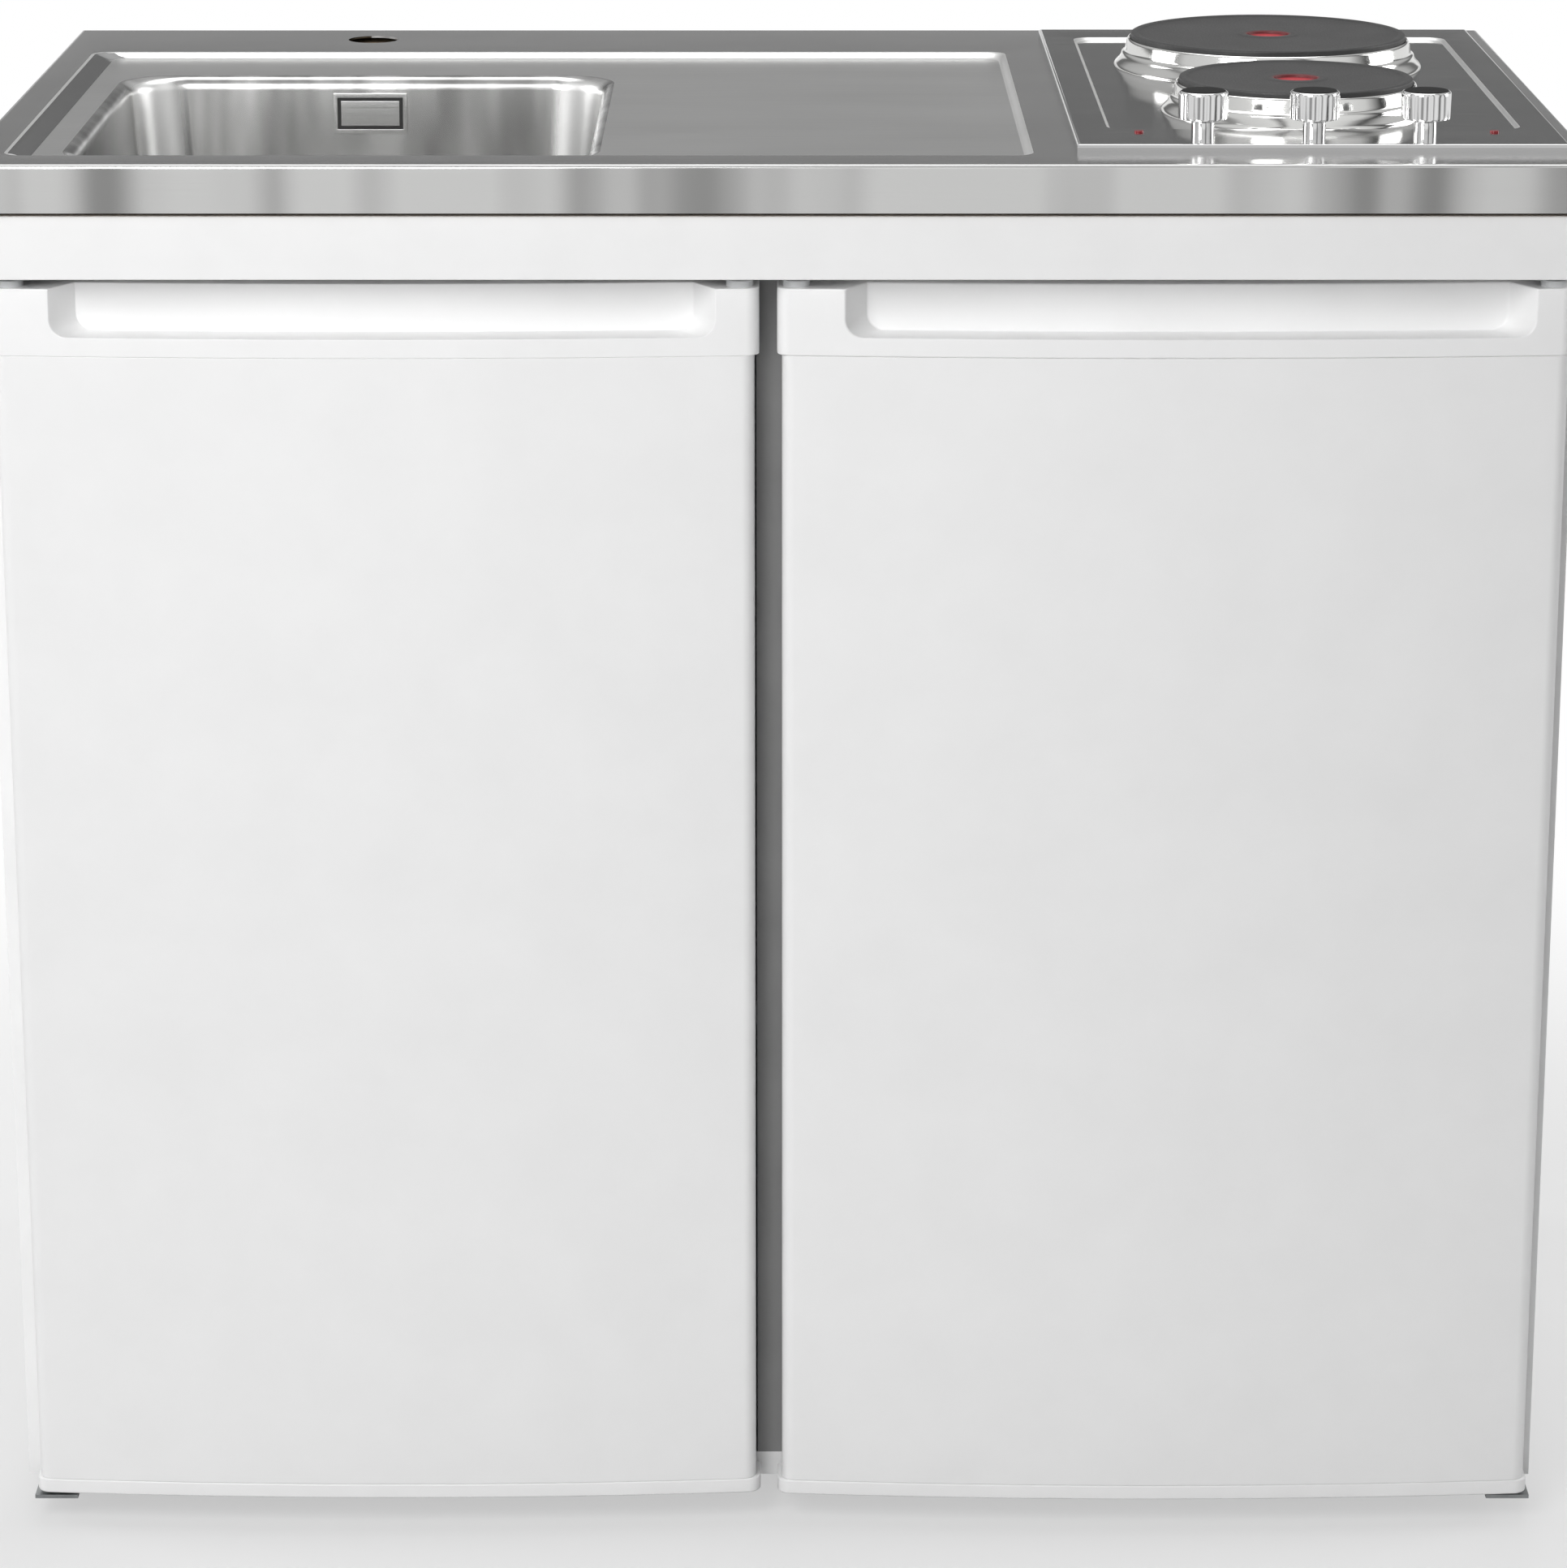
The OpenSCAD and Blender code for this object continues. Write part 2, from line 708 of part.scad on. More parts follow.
// The overflow's cover: a frame round a plate, with a water slot all round
module overflow_plate() {
  w = overflow_w;
  h = overflow_h;
  slot = 3;
  frame_w = 3;
  z1 = bowl_lip - overflow_drop;
  z0 = z1 - h;
  inner = frame_w + slot;
  color("gainsboro") translate([bowl_x, bowl_wall_y, z_sheet - bowl_lip]) rotate([-bowl_lean, 0, 0]) {
    difference() {
      block([-w / 2, -overflow_t, z0], [w / 2, -loose / 2, z1]);
      difference() {
        block([-w / 2 + frame_w, -overflow_t - over, z0 + frame_w],
              [w / 2 - frame_w, -overflow_t / 2, z1 - frame_w]);
        block([-w / 2 + inner, -overflow_t, z0 + inner], [w / 2 - inner, 0, z1 - inner]);
      }
    }
  }
}

// From the overflow, down behind the bowl and forward to the waste cup
module overflow_pipe() {
  pipe_y = bowl_wall_y + overflow_pipe_back;
  color("white") {
    bar_y(bowl_x, overflow_z, overflow_pipe_r, bowl_wall_y + sheet_t, pipe_y);
    post(bowl_x, pipe_y, overflow_pipe_r, overflow_low_z, overflow_z);
    translate([bowl_x, pipe_y, overflow_z]) sphere(r = overflow_pipe_r);
    translate([bowl_x, pipe_y, overflow_low_z]) sphere(r = overflow_pipe_r);
    bar_y(bowl_x, overflow_low_z, overflow_pipe_r, bowl_y + cup_r, pipe_y);
  }
}

// The flanged cup in the bowl's floor
module waste_body() {
  r = cup_r;
  rim_z = bowl_floor_z + waste_rim_t;
  color("silver") difference() {
    union() {
      post(bowl_x, bowl_y, waste_flange_d / 2, bowl_floor_z, rim_z);
      post(bowl_x, bowl_y, r, waste_cup_z, rim_z);
      post(bowl_x, bowl_y, tail_r, waste_cup_z - tail_h, waste_cup_z + over);
    }
    post(bowl_x, bowl_y, r - waste_wall, waste_cup_z + waste_wall, rim_z + over);
    difference() {
      post(bowl_x, bowl_y, tail_r - tail_wall, waste_cup_z - tail_h - over, waste_cup_z + waste_wall + over);
      post(bowl_x, bowl_y, boss_r, waste_cup_z - tail_h - over, waste_cup_z + waste_wall + over);
      block([bowl_x - tail_r, bowl_y - waste_wall, waste_cup_z - waste_wall],
            [bowl_x + tail_r, bowl_y + waste_wall, waste_cup_z + waste_wall]);
    }
    post(bowl_x, bowl_y, boss_r + over, waste_cup_z - tail_h - over, waste_cup_z - waste_wall);
    post(bowl_x, bowl_y, stem_r + running, waste_cup_z - tail_h, waste_cup_z + waste_wall + over);
  }
}

// The perforated plug, with its seal, stem and lifting button
module sink_strainer() {
  r = cup_r - waste_wall - loose;
  plug_t = 4;
  plug_z = bowl_floor_z - plug_t - waste_rim_t;
  holes = 12;
  hole_r = 3;
  ring_r = r * 0.7;
  button_r = 8;
  button_h = 6;
  button_z = plug_z + plug_t + button_h;
  color("silver") {
    difference() {
      post(bowl_x, bowl_y, r, plug_z, plug_z + plug_t);
      for (i = [0 : holes - 1]) {
        a = i * 360 / holes;
        post(bowl_x + ring_r * cos(a), bowl_y + ring_r * sin(a), hole_r, plug_z - over, plug_z + plug_t + over);
      }
    }
    post(bowl_x, bowl_y, stem_r, waste_cup_z - waste_wall - strainer_lift - stem_spare, button_z + over);
    post(bowl_x, bowl_y, button_r, button_z, button_z + button_h);
  }
}

// The lock nut under the bowl and the bottle trap below it
module bottle_trap() {
  low_z = trap_top_z - trap_h;
  cap_h = 26;
  cap_r = trap_r + 3;
  collar_r = tail_r + 6;
  color("white") {
    difference() {
      post(bowl_x, bowl_y, nut_r, bowl_floor_z - sheet_t - nut_h, bowl_floor_z - sheet_t);
      post(bowl_x, bowl_y, cup_r, bowl_floor_z - sheet_t - nut_h - over, bowl_floor_z);
    }
    difference() {
      union() {
        post(bowl_x, bowl_y, trap_r, low_z + cap_h, trap_top_z);
        post(bowl_x, bowl_y, cap_r, low_z, low_z + cap_h);
        post(bowl_x, bowl_y, collar_r, trap_top_z - over, trap_top_z + tail_h / 2);
      }
      post(bowl_x, bowl_y, trap_r - tail_wall, low_z + tail_wall, trap_top_z - tail_wall);
      post(bowl_x, bowl_y, tail_r, trap_top_z - tail_wall - over, trap_top_z + tail_h);
      bar_y(bowl_x, outlet_z, pipe_r - tail_wall, bowl_y, bowl_y + cap_r + over);
    }
  }
}

// From the trap, through the back, to the tail that the building's drain takes
module waste_pipe() {
  tail_y0 = panel_back_y - outlet_len;
  color("white") difference() {
    union() {
      bar_y(bowl_x, outlet_z, pipe_r, bowl_y + trap_r, tail_y0 + over);
      bar_y(bowl_x, outlet_z, outlet_d / 2, tail_y0, panel_back_y);
    }
    bar_y(bowl_x, outlet_z, pipe_r - tail_wall, bowl_y, y_back + over);
    post(bowl_x, bowl_y, trap_r, outlet_z - pipe_r - over, outlet_z + pipe_r + over);
  }
}

// ---------------------------------------------------------------- hob

// The stainless tray: a raised rim, a pressed field and holes for the plates, spindles and lamps
module hob_tray() {
  t = sheet_t;
  fx0 = hob_x0 + hob_field_side;
  fx1 = hob_x1 - hob_field_side;
  fy0 = hob_y0 + hob_field_front;
  fy1 = hob_y1 - hob_field_back;
  color("dimgray") difference() {
    union() {
      difference() {
        lid(hob_x0, hob_x1, hob_y0, hob_y1, unit_h, hob_z, hob_edge_r);
        lid(hob_x0 + t, hob_x1 - t, hob_y0 + t, hob_y1 - t, unit_h - over, hob_z - t, hob_edge_r - t / 2);
      }
      plate(fx0 - t, fx1 + t, fy0 - t, fy1 + t, recess_r + t, field_z - t, hob_z - t / 2);
    }
    plate(fx0, fx1, fy0, fy1, recess_r, field_z, hob_z + over);
    post(plate_x, front_y, front_plate_d / 2 - plate_spigot + spigot_gap, unit_h, hob_z + over);
    post(plate_x, rear_y, rear_plate_d / 2 - plate_spigot + spigot_gap, unit_h, hob_z + over);
    for (x = knob_xs) post(x, knob_axis_y, spindle_r + spindle_gap, unit_h, hob_z + over);
    for (s = [-1, 1]) post((hob_x0 + hob_x1) / 2 + s * lamp_x, y_front + lamp_y, lamp_r, unit_h, hob_z + over);
  }
}

// The pan that closes the hob from below
module hob_casing() {
  inset = hob_lap + casing_gap;
  color("gray") tub([hob_x0 + inset, hob_y0 + inset, casing_z],
                    [hob_x1 - inset, hob_y1 - inset, hob_z - sheet_t], sheet_t);
}

// A cast plate with a raised rim, a sunk red spot, and a spigot and stud below
module hotplate(y, d) {
  r = d / 2;
  rim_w = 5;
  dish = 1;
  stud_r = 4;
  difference() {
    union() {
      post(plate_x, y, r, field_z, plate_top - dish);
      post(plate_x, y, r - dish, plate_top - dish, plate_top);
      post(plate_x, y, r - plate_spigot, field_z - spigot_h, field_z + over);
      post(plate_x, y, stud_r, casing_z + sheet_t, field_z);
    }
    difference() {
      post(plate_x, y, r - rim_w, plate_top - dish, plate_top + over);
      post(plate_x, y, dot_r + rim_w, plate_top - dish - over, plate_top - dish / 2);
    }
    post(plate_x, y, dot_r, plate_top - 2 * dish, plate_top + over);
  }
}

module front_hotplate() {
  color("#2a2a2a") hotplate(front_y, front_plate_d);
}

module rear_hotplate() {
  color("#2a2a2a") hotplate(rear_y, rear_plate_d);
}

// The stepped steel ring that keeps spills out from under a plate
module collar(y, d) {
  r = d / 2 + loose;
  foot = 2;
  step = 4;
  lip = 1;
  step_z = collar_h / 2;
  translate([plate_x, y, field_z]) rotate_extrude() polygon([
    [r, 0], [r + collar_w, 0], [r + collar_w, foot], [r + step + 2 * lip, step_z],
    [r + step, step_z + lip], [r + 2 * lip, collar_h - lip], [r + lip, collar_h], [r, collar_h]
  ]);
}

module plate_collars() {
  color("silver") {
    collar(front_y, front_plate_d);
    collar(rear_y, rear_plate_d);
  }
}

module pilot_lamps() {
  color("red") for (s = [-1, 1]) {
    x = (hob_x0 + hob_x1) / 2 + s * lamp_x;
    post(x, y_front + lamp_y, lamp_r - running, field_z - hob_h, hob_z + over);
  }
}

// The switches that the knobs turn, hung under the tray
module heat_regulators() {
  top_z = hob_z - sheet_t;
  y0 = hob_y0 + hob_lap + casing_gap + 2 * sheet_t;
  floor_t = 3;
  color("ivory") for (x = knob_xs) difference() {
    block([x - regulator_w / 2, y0, top_z - regulator_h], [x + regulator_w / 2, y0 + regulator_w, top_z]);
    post(x, knob_axis_y, spindle_r + running, top_z - regulator_h + floor_t, top_z + over);
  }
}

// A knob: chrome body with grip flutes, black cap, neck and spindle
module hob_knob(x) {
  flutes = 18;
  flute_r = 1.2;
  flute_stop = 2;
  cap_step = 1.5;
  neck_z = hob_z + loose;
  body_z = hob_z + knob_neck_h;
  body_top = body_z + knob_h - knob_cap_h;
  color("silver") {
    difference() {
      post(x, knob_axis_y, knob_d / 2, body_z, body_top);
      for (i = [0 : flutes - 1]) {
        a = i * 360 / flutes;
        post(x + knob_d / 2 * cos(a), knob_axis_y + knob_d / 2 * sin(a), flute_r,
             body_z - over, body_top - flute_stop);
      }
    }
    post(x, knob_axis_y, knob_neck_d / 2, neck_z, body_z);
    post(x, knob_axis_y, spindle_r, hob_z - spindle_l, neck_z);
  }
  color("black") post(x, knob_axis_y, knob_d / 2 - cap_step, body_top, body_top + knob_cap_h);
}

module hob_knob_left() {
  hob_knob(knob_xs[0]);
}

module hob_knob_middle() {
  hob_knob(knob_xs[1]);
}

module hob_knob_right() {
  hob_knob(knob_xs[2]);
}

// ---------------------------------------------------------------- carcass

// The rail over the doors, with a return at each end back to the side panels
module fascia() {
  color("white") difference() {
    block([-panel_out, fascia_y, fascia_z], [panel_out, carcass_y, z_under]);
    block([-panel_in, fascia_back_y, fascia_z - over], [panel_in, carcass_y + over, z_under + over]);
  }
}

module side_panel(x0) {
  color("white") block([x0, carcass_y, foot_h], [x0 + board_t, panel_back_y, z_under]);
}

module left_side_panel() {
  side_panel(-panel_out);
}

module right_side_panel() {
  side_panel(panel_in);
}

module centre_partition() {
  color("white") block([part_x0, carcass_y + post_l, floor_z], [part_x1, rail_y, z_under]);
}

// The dark front edge of the partition, seen between the doors
module centre_post() {
  color("#5a5a5a") block([part_x0, carcass_y, floor_z], [part_x1, carcass_y + post_l, z_under]);
}

module base_panel() {
  color("white") block([-panel_in, carcass_y, foot_h], [panel_in, panel_back_y, floor_z]);
}

// The cupboard's back, with holes for the drain and for the services
module back_panel() {
  hole_clear = 4;
  hole_r = outlet_d / 2 + hole_clear;
  color("white") difference() {
    block([-panel_in, back_y, floor_z], [part_x0, rail_y, z_under]);
    bar_y(bowl_x, outlet_z, hole_r, back_y - over, rail_y + over);
    bar_y(bowl_x + service_shift, outlet_z, service_r, back_y - over, rail_y + over);
  }
}

// The rail that the unit is screwed to the wall through
module back_rail() {
  z0 = fixing_z - rail_h / 2;
  color("white") difference() {
    block([-panel_in, rail_y, z0], [panel_in, panel_back_y, z0 + rail_h]);
    for (s = [-1, 1]) bar_y(s * (panel_in - fixing_in), fixing_z, fixing_r, rail_y - over, panel_back_y + over);
  }
}

// Levelling feet: a wide pad and a stem in a socket under the base
module feet() {
  color("#333333") for (x = foot_xs, y = foot_ys) {
    post(x, y, foot_r, 0, foot_pad_h);
    post(x, y, foot_stem_r, foot_pad_h, foot_h - foot_socket_h);
    post(x, y, foot_socket_r, foot_h - foot_socket_h, foot_h);
  }
}

module cabinet_shelf() {
  color("white") block([-panel_in + loose, carcass_y + shelf_back, shelf_z],
                       [part_x0 - loose, back_y - loose, shelf_z + board_t]);
}

// Four brackets that the shelf rests on
module shelf_supports() {
  w = 10;
  end_gap = 60;
  ys = [carcass_y + end_gap, back_y - end_gap];
  color("silver") for (y = ys) {
    block([-panel_in, y, shelf_z - w], [-panel_in + w, y + w, shelf_z]);
    block([part_x0 - w, y, shelf_z - w], [part_x0, y + w, shelf_z]);
  }
}

// Hinge plates under the fascia and under the base, each with its pin
module hinge_plates() {
  low_z = foot_h - packing_t;
  top_z = fascia_z - plate_t;
  y0 = hinge_y - hinge_edge;
  color("silver") for (x = [left_hinge_x, right_hinge_x]) {
    x0 = x - hinge_reach;
    x1 = x + hinge_reach;
    block([x0, y0, top_z], [x1, carcass_y - hinge_back_gap, fascia_z]);
    post(x, hinge_y, pin_d / 2, door_top - bush_l + pin_short, top_z + over);
    block([x0, y0, low_z - plate_t], [x1, carcass_y + hinge_grip, low_z]);
    block([x0, carcass_y + over, low_z - over], [x1, carcass_y + hinge_grip, foot_h]);
    post(x, hinge_y, pin_d / 2, low_z - over, door_low + low_bush_h - pin_short);
  }
}

// ---------------------------------------------------------------- left door

module left_door_panel() {
  color("white") door_skin(left_panel_x0, left_panel_x1, left_x0, left_x1, door_low);
}

module left_door_core() {
  color("lemonchiffon") door_core(left_panel_x0, left_panel_x1, left_x0, left_x1, door_low);
}

module left_door_back() {
  color("white") block([left_panel_x0, core_back_y, door_low], [left_panel_x1, door_back_y, door_top]);
}

module left_door_handle() {
  color("white") door_handle(left_x0, left_x1, left_x0 + grip_outer, left_x1 - grip_inner, left_hinge_x);
}

module left_door_sill() {
  color("white") door_sill(left_x0, left_x1, door_low, left_hinge_x);
}

module left_door_seal() {
  color("gray") door_seal(left_hinge_x + seal_in, left_x1 - seal_in, door_low);
}

module left_door_bushes() {
  color("gainsboro") door_bushes(left_hinge_x, left_x1 - pivot_x, door_low);
}

// ---------------------------------------------------------------- right door

module right_door_panel() {
  color("white") door_skin(right_panel_x0, right_panel_x1, right_x0, right_x1, right_low);
}

module right_door_core() {
  color("lemonchiffon") door_core(right_panel_x0, right_panel_x1, right_x0, right_x1, right_low);
}

// The inner liner, with two upright dykes that carry the racks
module right_door_liner() {
  color("white") {
    block([right_panel_x0, core_back_y, right_low], [right_panel_x1, door_back_y, door_top]);
    for (x = [dyke_x0, dyke_x1 - dyke_w]) {
      block([x, door_back_y - inner_t / 2, cav_z0 + dyke_in],
            [x + dyke_w, door_back_y + dyke_l, cav_z1 - dyke_in]);
    }
  }
}

module right_door_handle() {
  color("white") door_handle(right_x0, right_x1, right_x0 + grip_inner, right_x1 - grip_outer, right_hinge_x);
}

module right_door_sill() {
  color("white") door_sill(right_x0, right_x1, right_low, right_hinge_x);
}

module right_door_seal() {
  color("gray") door_seal(right_x0 + seal_in, right_hinge_x - seal_in, right_low);
}

module right_door_bushes() {
  color("gainsboro") door_bushes(right_hinge_x, right_x0 + pivot_x, right_low);
}

// Two bottle racks hung between the dykes
module door_racks() {
  y0 = door_back_y;
  color("white") for (z = [rack_z1, rack_z2]) {
    tub([dyke_x0 + dyke_w, y0, z], [dyke_x1 - dyke_w, y0 + rack_l, z + rack_h], rack_wall);
  }
}

// ---------------------------------------------------------------- refrigerator

// The cavity: a tall part, and a lower front part before the compressor's niche
module cavity(x0, x1, y1, z0, z1, sy, sz, y0) {
  block([x0, y0, sz], [x1, y1, z1]);
  block([x0, y0, z0], [x1, sy, sz + over]);
}

module fridge_insulation() {
  color("lemonchiffon") difference() {
    block([fr_x0, carcass_y + liner_t, fr_z0], [fr_x1, fr_y1, fr_z1]);
    cavity(cav_x0, cav_x1, cav_y1, cav_z0, cav_z1, step_y, step_z, carcass_y);
    block([fr_x0 - over, fr_y1 - niche_l, fr_z0 - over], [fr_x1 + over, fr_y1 + over, fr_z0 + niche_h]);
  }
}

// The white liner, with a front flange and ledges for the glass
module fridge_liner() {
  color("white") {
    difference() {
      union() {
        cavity(cav_x0, cav_x1, cav_y1, cav_z0, cav_z1, step_y, step_z, carcass_y);
        block([fr_x0, carcass_y, fr_z0], [fr_x1, carcass_y + liner_t, fr_z1]);
      }
      cavity(in_x0, in_x1, in_y1, in_z0, in_z1, in_step_y, in_step_z, carcass_y - over);
    }
    for (z = glass_zs) {
      block([in_x0 - over, carcass_y + glass_back, z - ledge_h], [in_x0 + ledge, in_y1, z]);
      block([in_x1 - ledge, carcass_y + glass_back, z - ledge_h], [in_x1 + over, in_y1, z]);
    }
  }
}

module fridge_back_sheet() {
  color("silver") block([fr_x0, fr_y1, fr_z0 + niche_h], [fr_x1, fr_y1 + back_sheet_t, fr_z1]);
}

module fridge_shelves() {
  color("lightcyan") for (z = glass_zs) {
    block([in_x0 + loose, carcass_y + glass_back, z], [in_x1 - loose, in_y1 - loose, z + glass_t]);
  }
}

module crisper_cover() {
  color("lightcyan") block([in_x0 + loose, carcass_y + glass_back, in_step_z],
                           [in_x1 - loose, in_y1 - loose, in_step_z + glass_t]);
}

// A clear drawer that stands on the liner's floor
module crisper_drawer() {
  x0 = in_x0 + crisper_side;
  x1 = in_x1 - crisper_side;
  gap = 5;
  top_z = in_step_z - gap;
  z0 = in_z0 + loose;
  lip = 10;
  lip_in = 80;
  color("aliceblue") {
    tub([x0, crisper_y0, z0], [x1, in_step_y - gap, top_z], crisper_wall);
    block([x0 + lip_in, crisper_y0 - lip, top_z - crisper_wall], [x1 - lip_in, crisper_y0 + over, top_z]);
  }
}

// The frozen-food compartment: an open-fronted box with ears for the flap's pins
module ice_box() {
  x0 = in_x0 + loose;
  x1 = in_x1 - loose;
  ear = 12;
  color("gainsboro") difference() {
    union() {
      difference() {
        block([x0, ice_y0, ice_z0], [x1, in_y1 - loose, ice_z1]);
        block([x0 + ice_wall, ice_y0 - over, ice_z0 + ice_wall],
              [x1 - ice_wall, in_y1 - 2 * ice_wall, ice_z1 - ice_wall]);
      }
      for (x = [x0, x1 - ice_wall]) {
        block([x, ice_y0 - ear, ice_z1 - ear], [x + ice_wall, ice_y0 + over, ice_z1]);
      }
    }
    bar_x(flap_axis_y, flap_axis_z, flap_pin_r + running, x0 - over, x1 + over);
  }
}

// The ice box's front flap, hung from its upper edge
module ice_box_flap() {
  x0 = in_x0 + 2 * loose + ice_wall;
  x1 = in_x1 - 2 * loose - ice_wall;
  y0 = flap_axis_y - flap_t / 2;
  low_z = ice_z0 + ice_wall;
  grip = 60;
  grip_h = 6;
  color("white") {
    block([x0, y0, low_z], [x1, y0 + flap_t, flap_axis_z + flap_t / 2]);
    block([(x0 + x1 - grip) / 2, y0 - flap_t, low_z + flap_t],
          [(x0 + x1 + grip) / 2, y0 + over, low_z + flap_t + grip_h]);
    bar_x(flap_axis_y, flap_axis_z, flap_pin_r, x0 - ice_wall, x0 + over);
    bar_x(flap_axis_y, flap_axis_z, flap_pin_r, x1 - over, x1 + ice_wall);
  }
}

// The housing of the thermostat and the lamp, on the right wall
module thermostat_housing() {
  color("white") difference() {
    block([dial_x, dial_y - housing_l / 2, dial_z - housing_h / 2],
          [in_x1 - loose, dial_y + housing_l / 2, dial_z + housing_h / 2]);
    bar_x(dial_y, dial_z, spindle_r + running, dial_x - over, dial_x + dial_stem + over);
  }
}

module thermostat_knob() {
  dial_h = 12;
  bar_w = 4;
  bar_h = 3;
  x1 = dial_x - loose;
  x0 = x1 - dial_h;
  reach = dial_d / 2 - over;
  color("gainsboro") {
    bar_x(dial_y, dial_z, dial_d / 2, x0, x1);
    bar_x(dial_y, dial_z, spindle_r, x1 - over, dial_x + dial_stem);
    block([x0 - bar_h, dial_y - bar_w / 2, dial_z - reach], [x0 + over, dial_y + bar_w / 2, dial_z + reach]);
  }
}

// A welded shell: straight waist between two domes, with a foot plate
module compressor() {
  z0 = floor_z + comp_rail_h + grommet_h;
  foot_t = 3;
  dome = comp_r * 0.45;
  tip_r = comp_r * 0.05;
  foot_w = comp_r * 0.6;
  low = foot_t + dome;
  high = comp_h - dome;
  color("#222222") translate([comp_x, comp_y, z0]) {
    rotate_extrude() polygon(concat(
      [[0, foot_t]],
      [for (i = [0 : arc_steps]) let (a = -90 + 90 * i / arc_steps)
        [max(comp_r * cos(a), tip_r), low + dome * sin(a)]],
      [for (i = [0 : arc_steps]) let (a = 90 * i / arc_steps)
        [max(comp_r * cos(a), tip_r), high + dome * sin(a)]],
      [[0, comp_h]]
    ));
    block([-comp_r, -foot_w, 0], [comp_r, foot_w, 2 * foot_t]);
  }
}

// Two rails across the niche and the rubber grommets on them
module compressor_mounts() {
  w = 18;
  rail_spare = 20;
  reach_x = comp_r - w / 2;
  reach_y = comp_r * 0.45;
  z1 = floor_z + comp_rail_h;
  color("#333333") for (s = [-1, 1]) {
    y = comp_y + s * reach_y;
    block([comp_x - comp_r - rail_spare, y - w / 2, floor_z], [comp_x + comp_r + rail_spare, y + w / 2, z1]);
    for (t = [-1, 1]) post(comp_x + t * reach_x, y, w / 2 - over, z1, z1 + grommet_h);
  }
}

// The black condenser: a serpentine tube with cross wires, on four stand-offs
module condenser() {
  x0 = fr_x0 + condenser_in;
  x1 = fr_x1 - condenser_in;
  low = fr_z0 + niche_h + condenser_end;
  rows = floor((fr_z1 - condenser_end - low) / tube_pitch);
  z0 = low + (fr_z1 - condenser_end - low - rows * tube_pitch) / 2;
  z1 = z0 + rows * tube_pitch;
  wire = 1.6;
  wires = 16;
  wire_in = 14;
  pad = 6;
  color("#1c1c1c") {
    for (i = [0 : rows]) bar_x(condenser_y, z0 + i * tube_pitch, tube_r, x0, x1);
    for (i = [0 : rows - 1]) {
      s = i % 2;
      translate([s == 0 ? x1 : x0, condenser_y, z0 + (i + 0.5) * tube_pitch]) rotate([90, 0, 0])
        rotate_extrude(angle = 180, start = s == 0 ? -90 : 90) translate([tube_pitch / 2, 0]) circle(r = tube_r);
    }
    for (i = [0 : wires]) {
      x = x0 + wire_in + (x1 - x0 - 2 * wire_in) * i / wires;
      block([x - wire / 2, condenser_y + tube_r - wire, z0 - pad],
            [x + wire / 2, condenser_y + tube_r + wire, z1 + pad]);
    }
    for (x = [x0 + tube_pitch, x1 - tube_pitch], z = [z0, z1]) {
      block([x - pad, fr_y1 + back_sheet_t, z - pad], [x + pad, condenser_y - tube_r / 2, z + pad]);
    }
  }
}

// ---------------------------------------------------------------- what is drawn
worktop();
worktop_board();
sink_bowl();
overflow_plate();
overflow_pipe();
waste_body();
bottle_trap();
waste_pipe();
sink_strainer();
hob_tray();
hob_casing();
front_hotplate();
rear_hotplate();
plate_collars();
pilot_lamps();
heat_regulators();
hob_knob_left();
hob_knob_middle();
hob_knob_right();
fascia();
left_side_panel();
right_side_panel();
centre_partition();
centre_post();
base_panel();
back_panel();
back_rail();
feet();
cabinet_shelf();
shelf_supports();
hinge_plates();
left_door_panel();
left_door_core();
left_door_back();
left_door_handle();
left_door_sill();
left_door_seal();
left_door_bushes();
right_door_panel();
right_door_core();
right_door_liner();
right_door_handle();
right_door_sill();
right_door_seal();
right_door_bushes();
door_racks();
fridge_insulation();
fridge_liner();
fridge_back_sheet();
ice_box();
ice_box_flap();
fridge_shelves();
crisper_cover();
crisper_drawer();
thermostat_housing();
thermostat_knob();
compressor();
compressor_mounts();
condenser();
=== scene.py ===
# %% [markdown]
# # Kitchenette unit with sink and hob
#
# A metre-wide kitchenette: a pressed stainless worktop with a welded bowl, a drainer and a
# two-plate electric hob, over a sink cupboard on the left and an under-counter refrigerator on the
# right.
#
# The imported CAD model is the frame. Pieces that show are modelled again here with soft, real
# edges, and every CAD piece that stays gets a procedural material. Lengths are in metres.

# %% The frame
import json
import math

